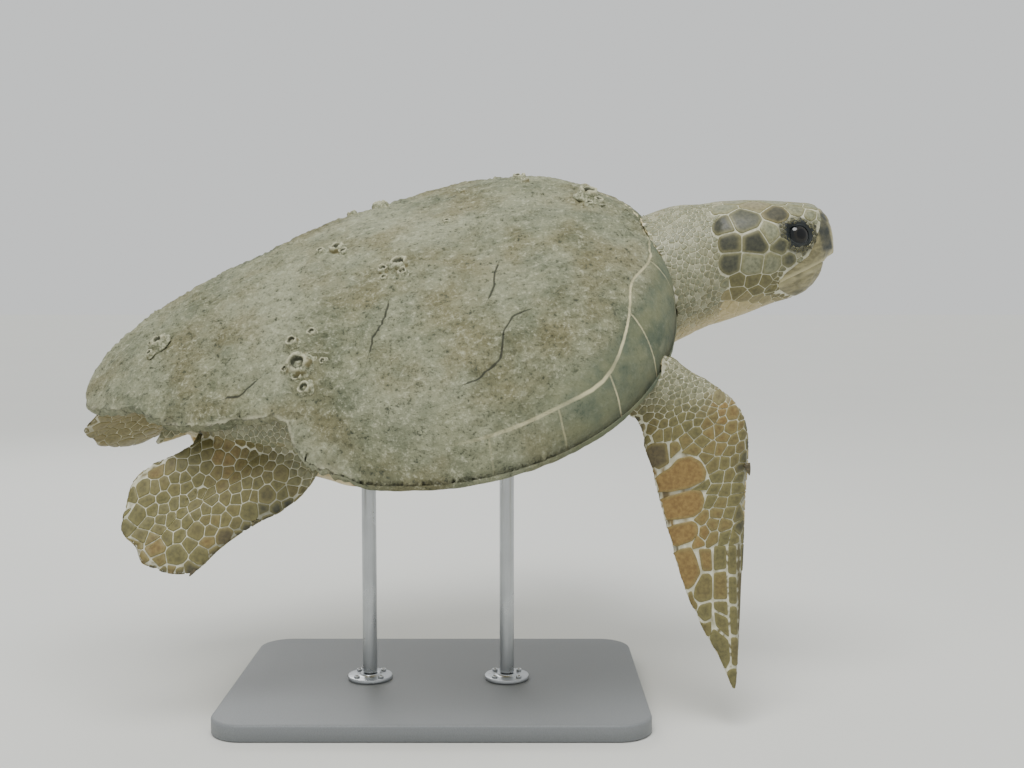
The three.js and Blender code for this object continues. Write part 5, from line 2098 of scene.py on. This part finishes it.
chances = np.random.default_rng(11).uniform(-1, 1, (len(places), 2))
# The second chance gives painted glints, pale highlights on some small scales only.
chances[sizes > LONG_SIDED, 1] = -1
tile_marks = markings_and_shade(places, normals, which_loft)
areas = np.array([middle_of(polygon)[2] if len(polygon) > 2 else 0 for polygon in polygons])
good = ~gone & (np.abs(areas) > SMALLEST_AREA)
coat_finish = Finish("scale_horn", Roughness=0.5)
COATS = {"scales_" + name: which_loft == index for index, name in enumerate(LOFTS[:4])}
COATS["scales_head"] = which_loft == HEAD_LOFT
for name, there in (("neck", places[:, 0] > 250), ("trunk", places[:, 0] <= 250)):
    there &= which_loft == NECK_LOFT
    COATS[f"scales_{name}_right"] = there & (places[:, 1] < 10)
    COATS[f"scales_{name}_left"] = there & (places[:, 1] >= 10)
COATS["scales_tail"] = which_loft == TAIL_LOFT
coats = [coat_piece(name, np.flatnonzero(members & good), coat_finish.material)
         for name, members in COATS.items()]

# %% [markdown]
# The same few numbers colour skin and scales: olive and grey above, cream beneath, ochre and
# dark, with painted shade, where the markings say, and painted glints on some grey granules.
# Skin of the flippers that no scale reaches takes the colour of the scales round it, and only
# the narrow seams stay pale.

# %% Skin and scale finishes
coat_tree = tree_of(np.concatenate([points_of(coat) for coat in coats[:4]]))
from_coat = np.array([coat_tree.find(point)[2] for point in skin_points])
skin_marks["bare"] = smoothstep(2.2, 3.8, from_coat) * (loft < NECK_LOFT)
for name, values in skin_marks.items():
    set_values(skin, name, values)

OLIVE = (82, 78, 46), (108, 102, 60)
f = coat_finish
mottle = f.noise(5, 4)
fine = f.noise(1.6, 4)
dorsal, ochre_tone, grey_tone, pale_tone, dark_tone = (f.tones(mottle, *pair) for pair in (
    OLIVE, ((114, 88, 44), (140, 114, 62)), ((104, 108, 86), (142, 144, 118)),
    ((176, 160, 112), (198, 184, 138)), ((44, 46, 36), (64, 64, 48))))
tone = f.times(f.value("tone"), 0.14)
ochre_share = f.between(f.maths("ADD", f.value("ochre"), tone), 0.1, 0.95)
# The dark number brings dark markings and painted shade.
dark_share = f.between(f.maths("ADD", f.value("dark"), f.times(tone, 0.8)), 0.15, 0.85)
colour = f.mix(f.value("grey"), dorsal, grey_tone)
colour = f.mix(ochre_share, colour, ochre_tone)
dark_share = f.times(dark_share, f.between(f.value("rim"), 0.0, 0.6, 0.55, 1.0))
colour = f.mix(dark_share, colour, dark_tone)
middle = f.between(f.value("rim"), 0.0, 0.8)
colour = f.mix(f.maths("SUBTRACT", 0.4, f.times(middle, 0.4)), colour, (132, 126, 78))
colour = f.mix(f.value("belly"), colour, pale_tone)
# Painted glints: pale highlights on some granules where the skin is grey.
painted_glint = f.times(f.between(f.value("painted_glint"), 0.3, 1.0, 0, 0.5), f.value("grey"))
colour = f.mix(painted_glint, colour, (178, 176, 148))
normal = f.bump(mottle, 0.25)
normal = f.bump(fine, 0.14, normal)
f.done(colour, normal, f.between(fine, 0.3, 0.7, 0.42, 0.6))

f = skin_finish
mottle = f.noise(9, 4)
fine = f.noise(1.8, 4)
seam_tone, grey_seam, pale_skin, olive = (f.tones(mottle, *pair) for pair in (
    ((184, 182, 154), (214, 212, 190)), ((160, 158, 130), (204, 202, 180)),
    ((196, 182, 136), (212, 200, 160)), OLIVE))
colour = f.mix(f.value("grey"), seam_tone, grey_seam)
olive = f.mix(f.times(f.value("ochre"), 0.6), olive, (128, 100, 54))
colour = f.mix(f.value("bare"), colour, olive)
# Dark markings and painted shade on the skin.
colour = f.mix(f.times(f.value("dark"), 0.75), colour, (54, 56, 44))
# The lids: their own dark skin and painted shade of the eye socket.
colour = f.mix(f.value("lids"), colour, (26, 32, 32))
colour = f.mix(f.value("belly"), colour, pale_skin)
normal = f.bump(f.noise(3.2, 4), 0.35)
normal = f.bump(fine, 0.15, normal)
f.done(colour, normal, f.between(fine, 0.3, 0.7, 0.45, 0.62))
# Where the lids' dark skin and the painted shade of the eye socket reach.
lids = smoothstep(7.5, 4.0, round_the_eye(head_of(skin_points))[0]) * (loft == HEAD_LOFT)
set_values(skin, "lids", lids)
print("skin and", len(coats), "coats of scales are coloured")

# %% [markdown]
# Last, the size of the dressed model is measured and printed, and kept beside the size of the imported
# one.

# %% Measure and finish
visual_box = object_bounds()
print("from", *(np.round(corner, 3).tolist() for corner in visual_box), "in metres")
sizes = {"cad_m": [list(corner) for corner in cad_box], "visual_m": [list(c) for c in visual_box]}
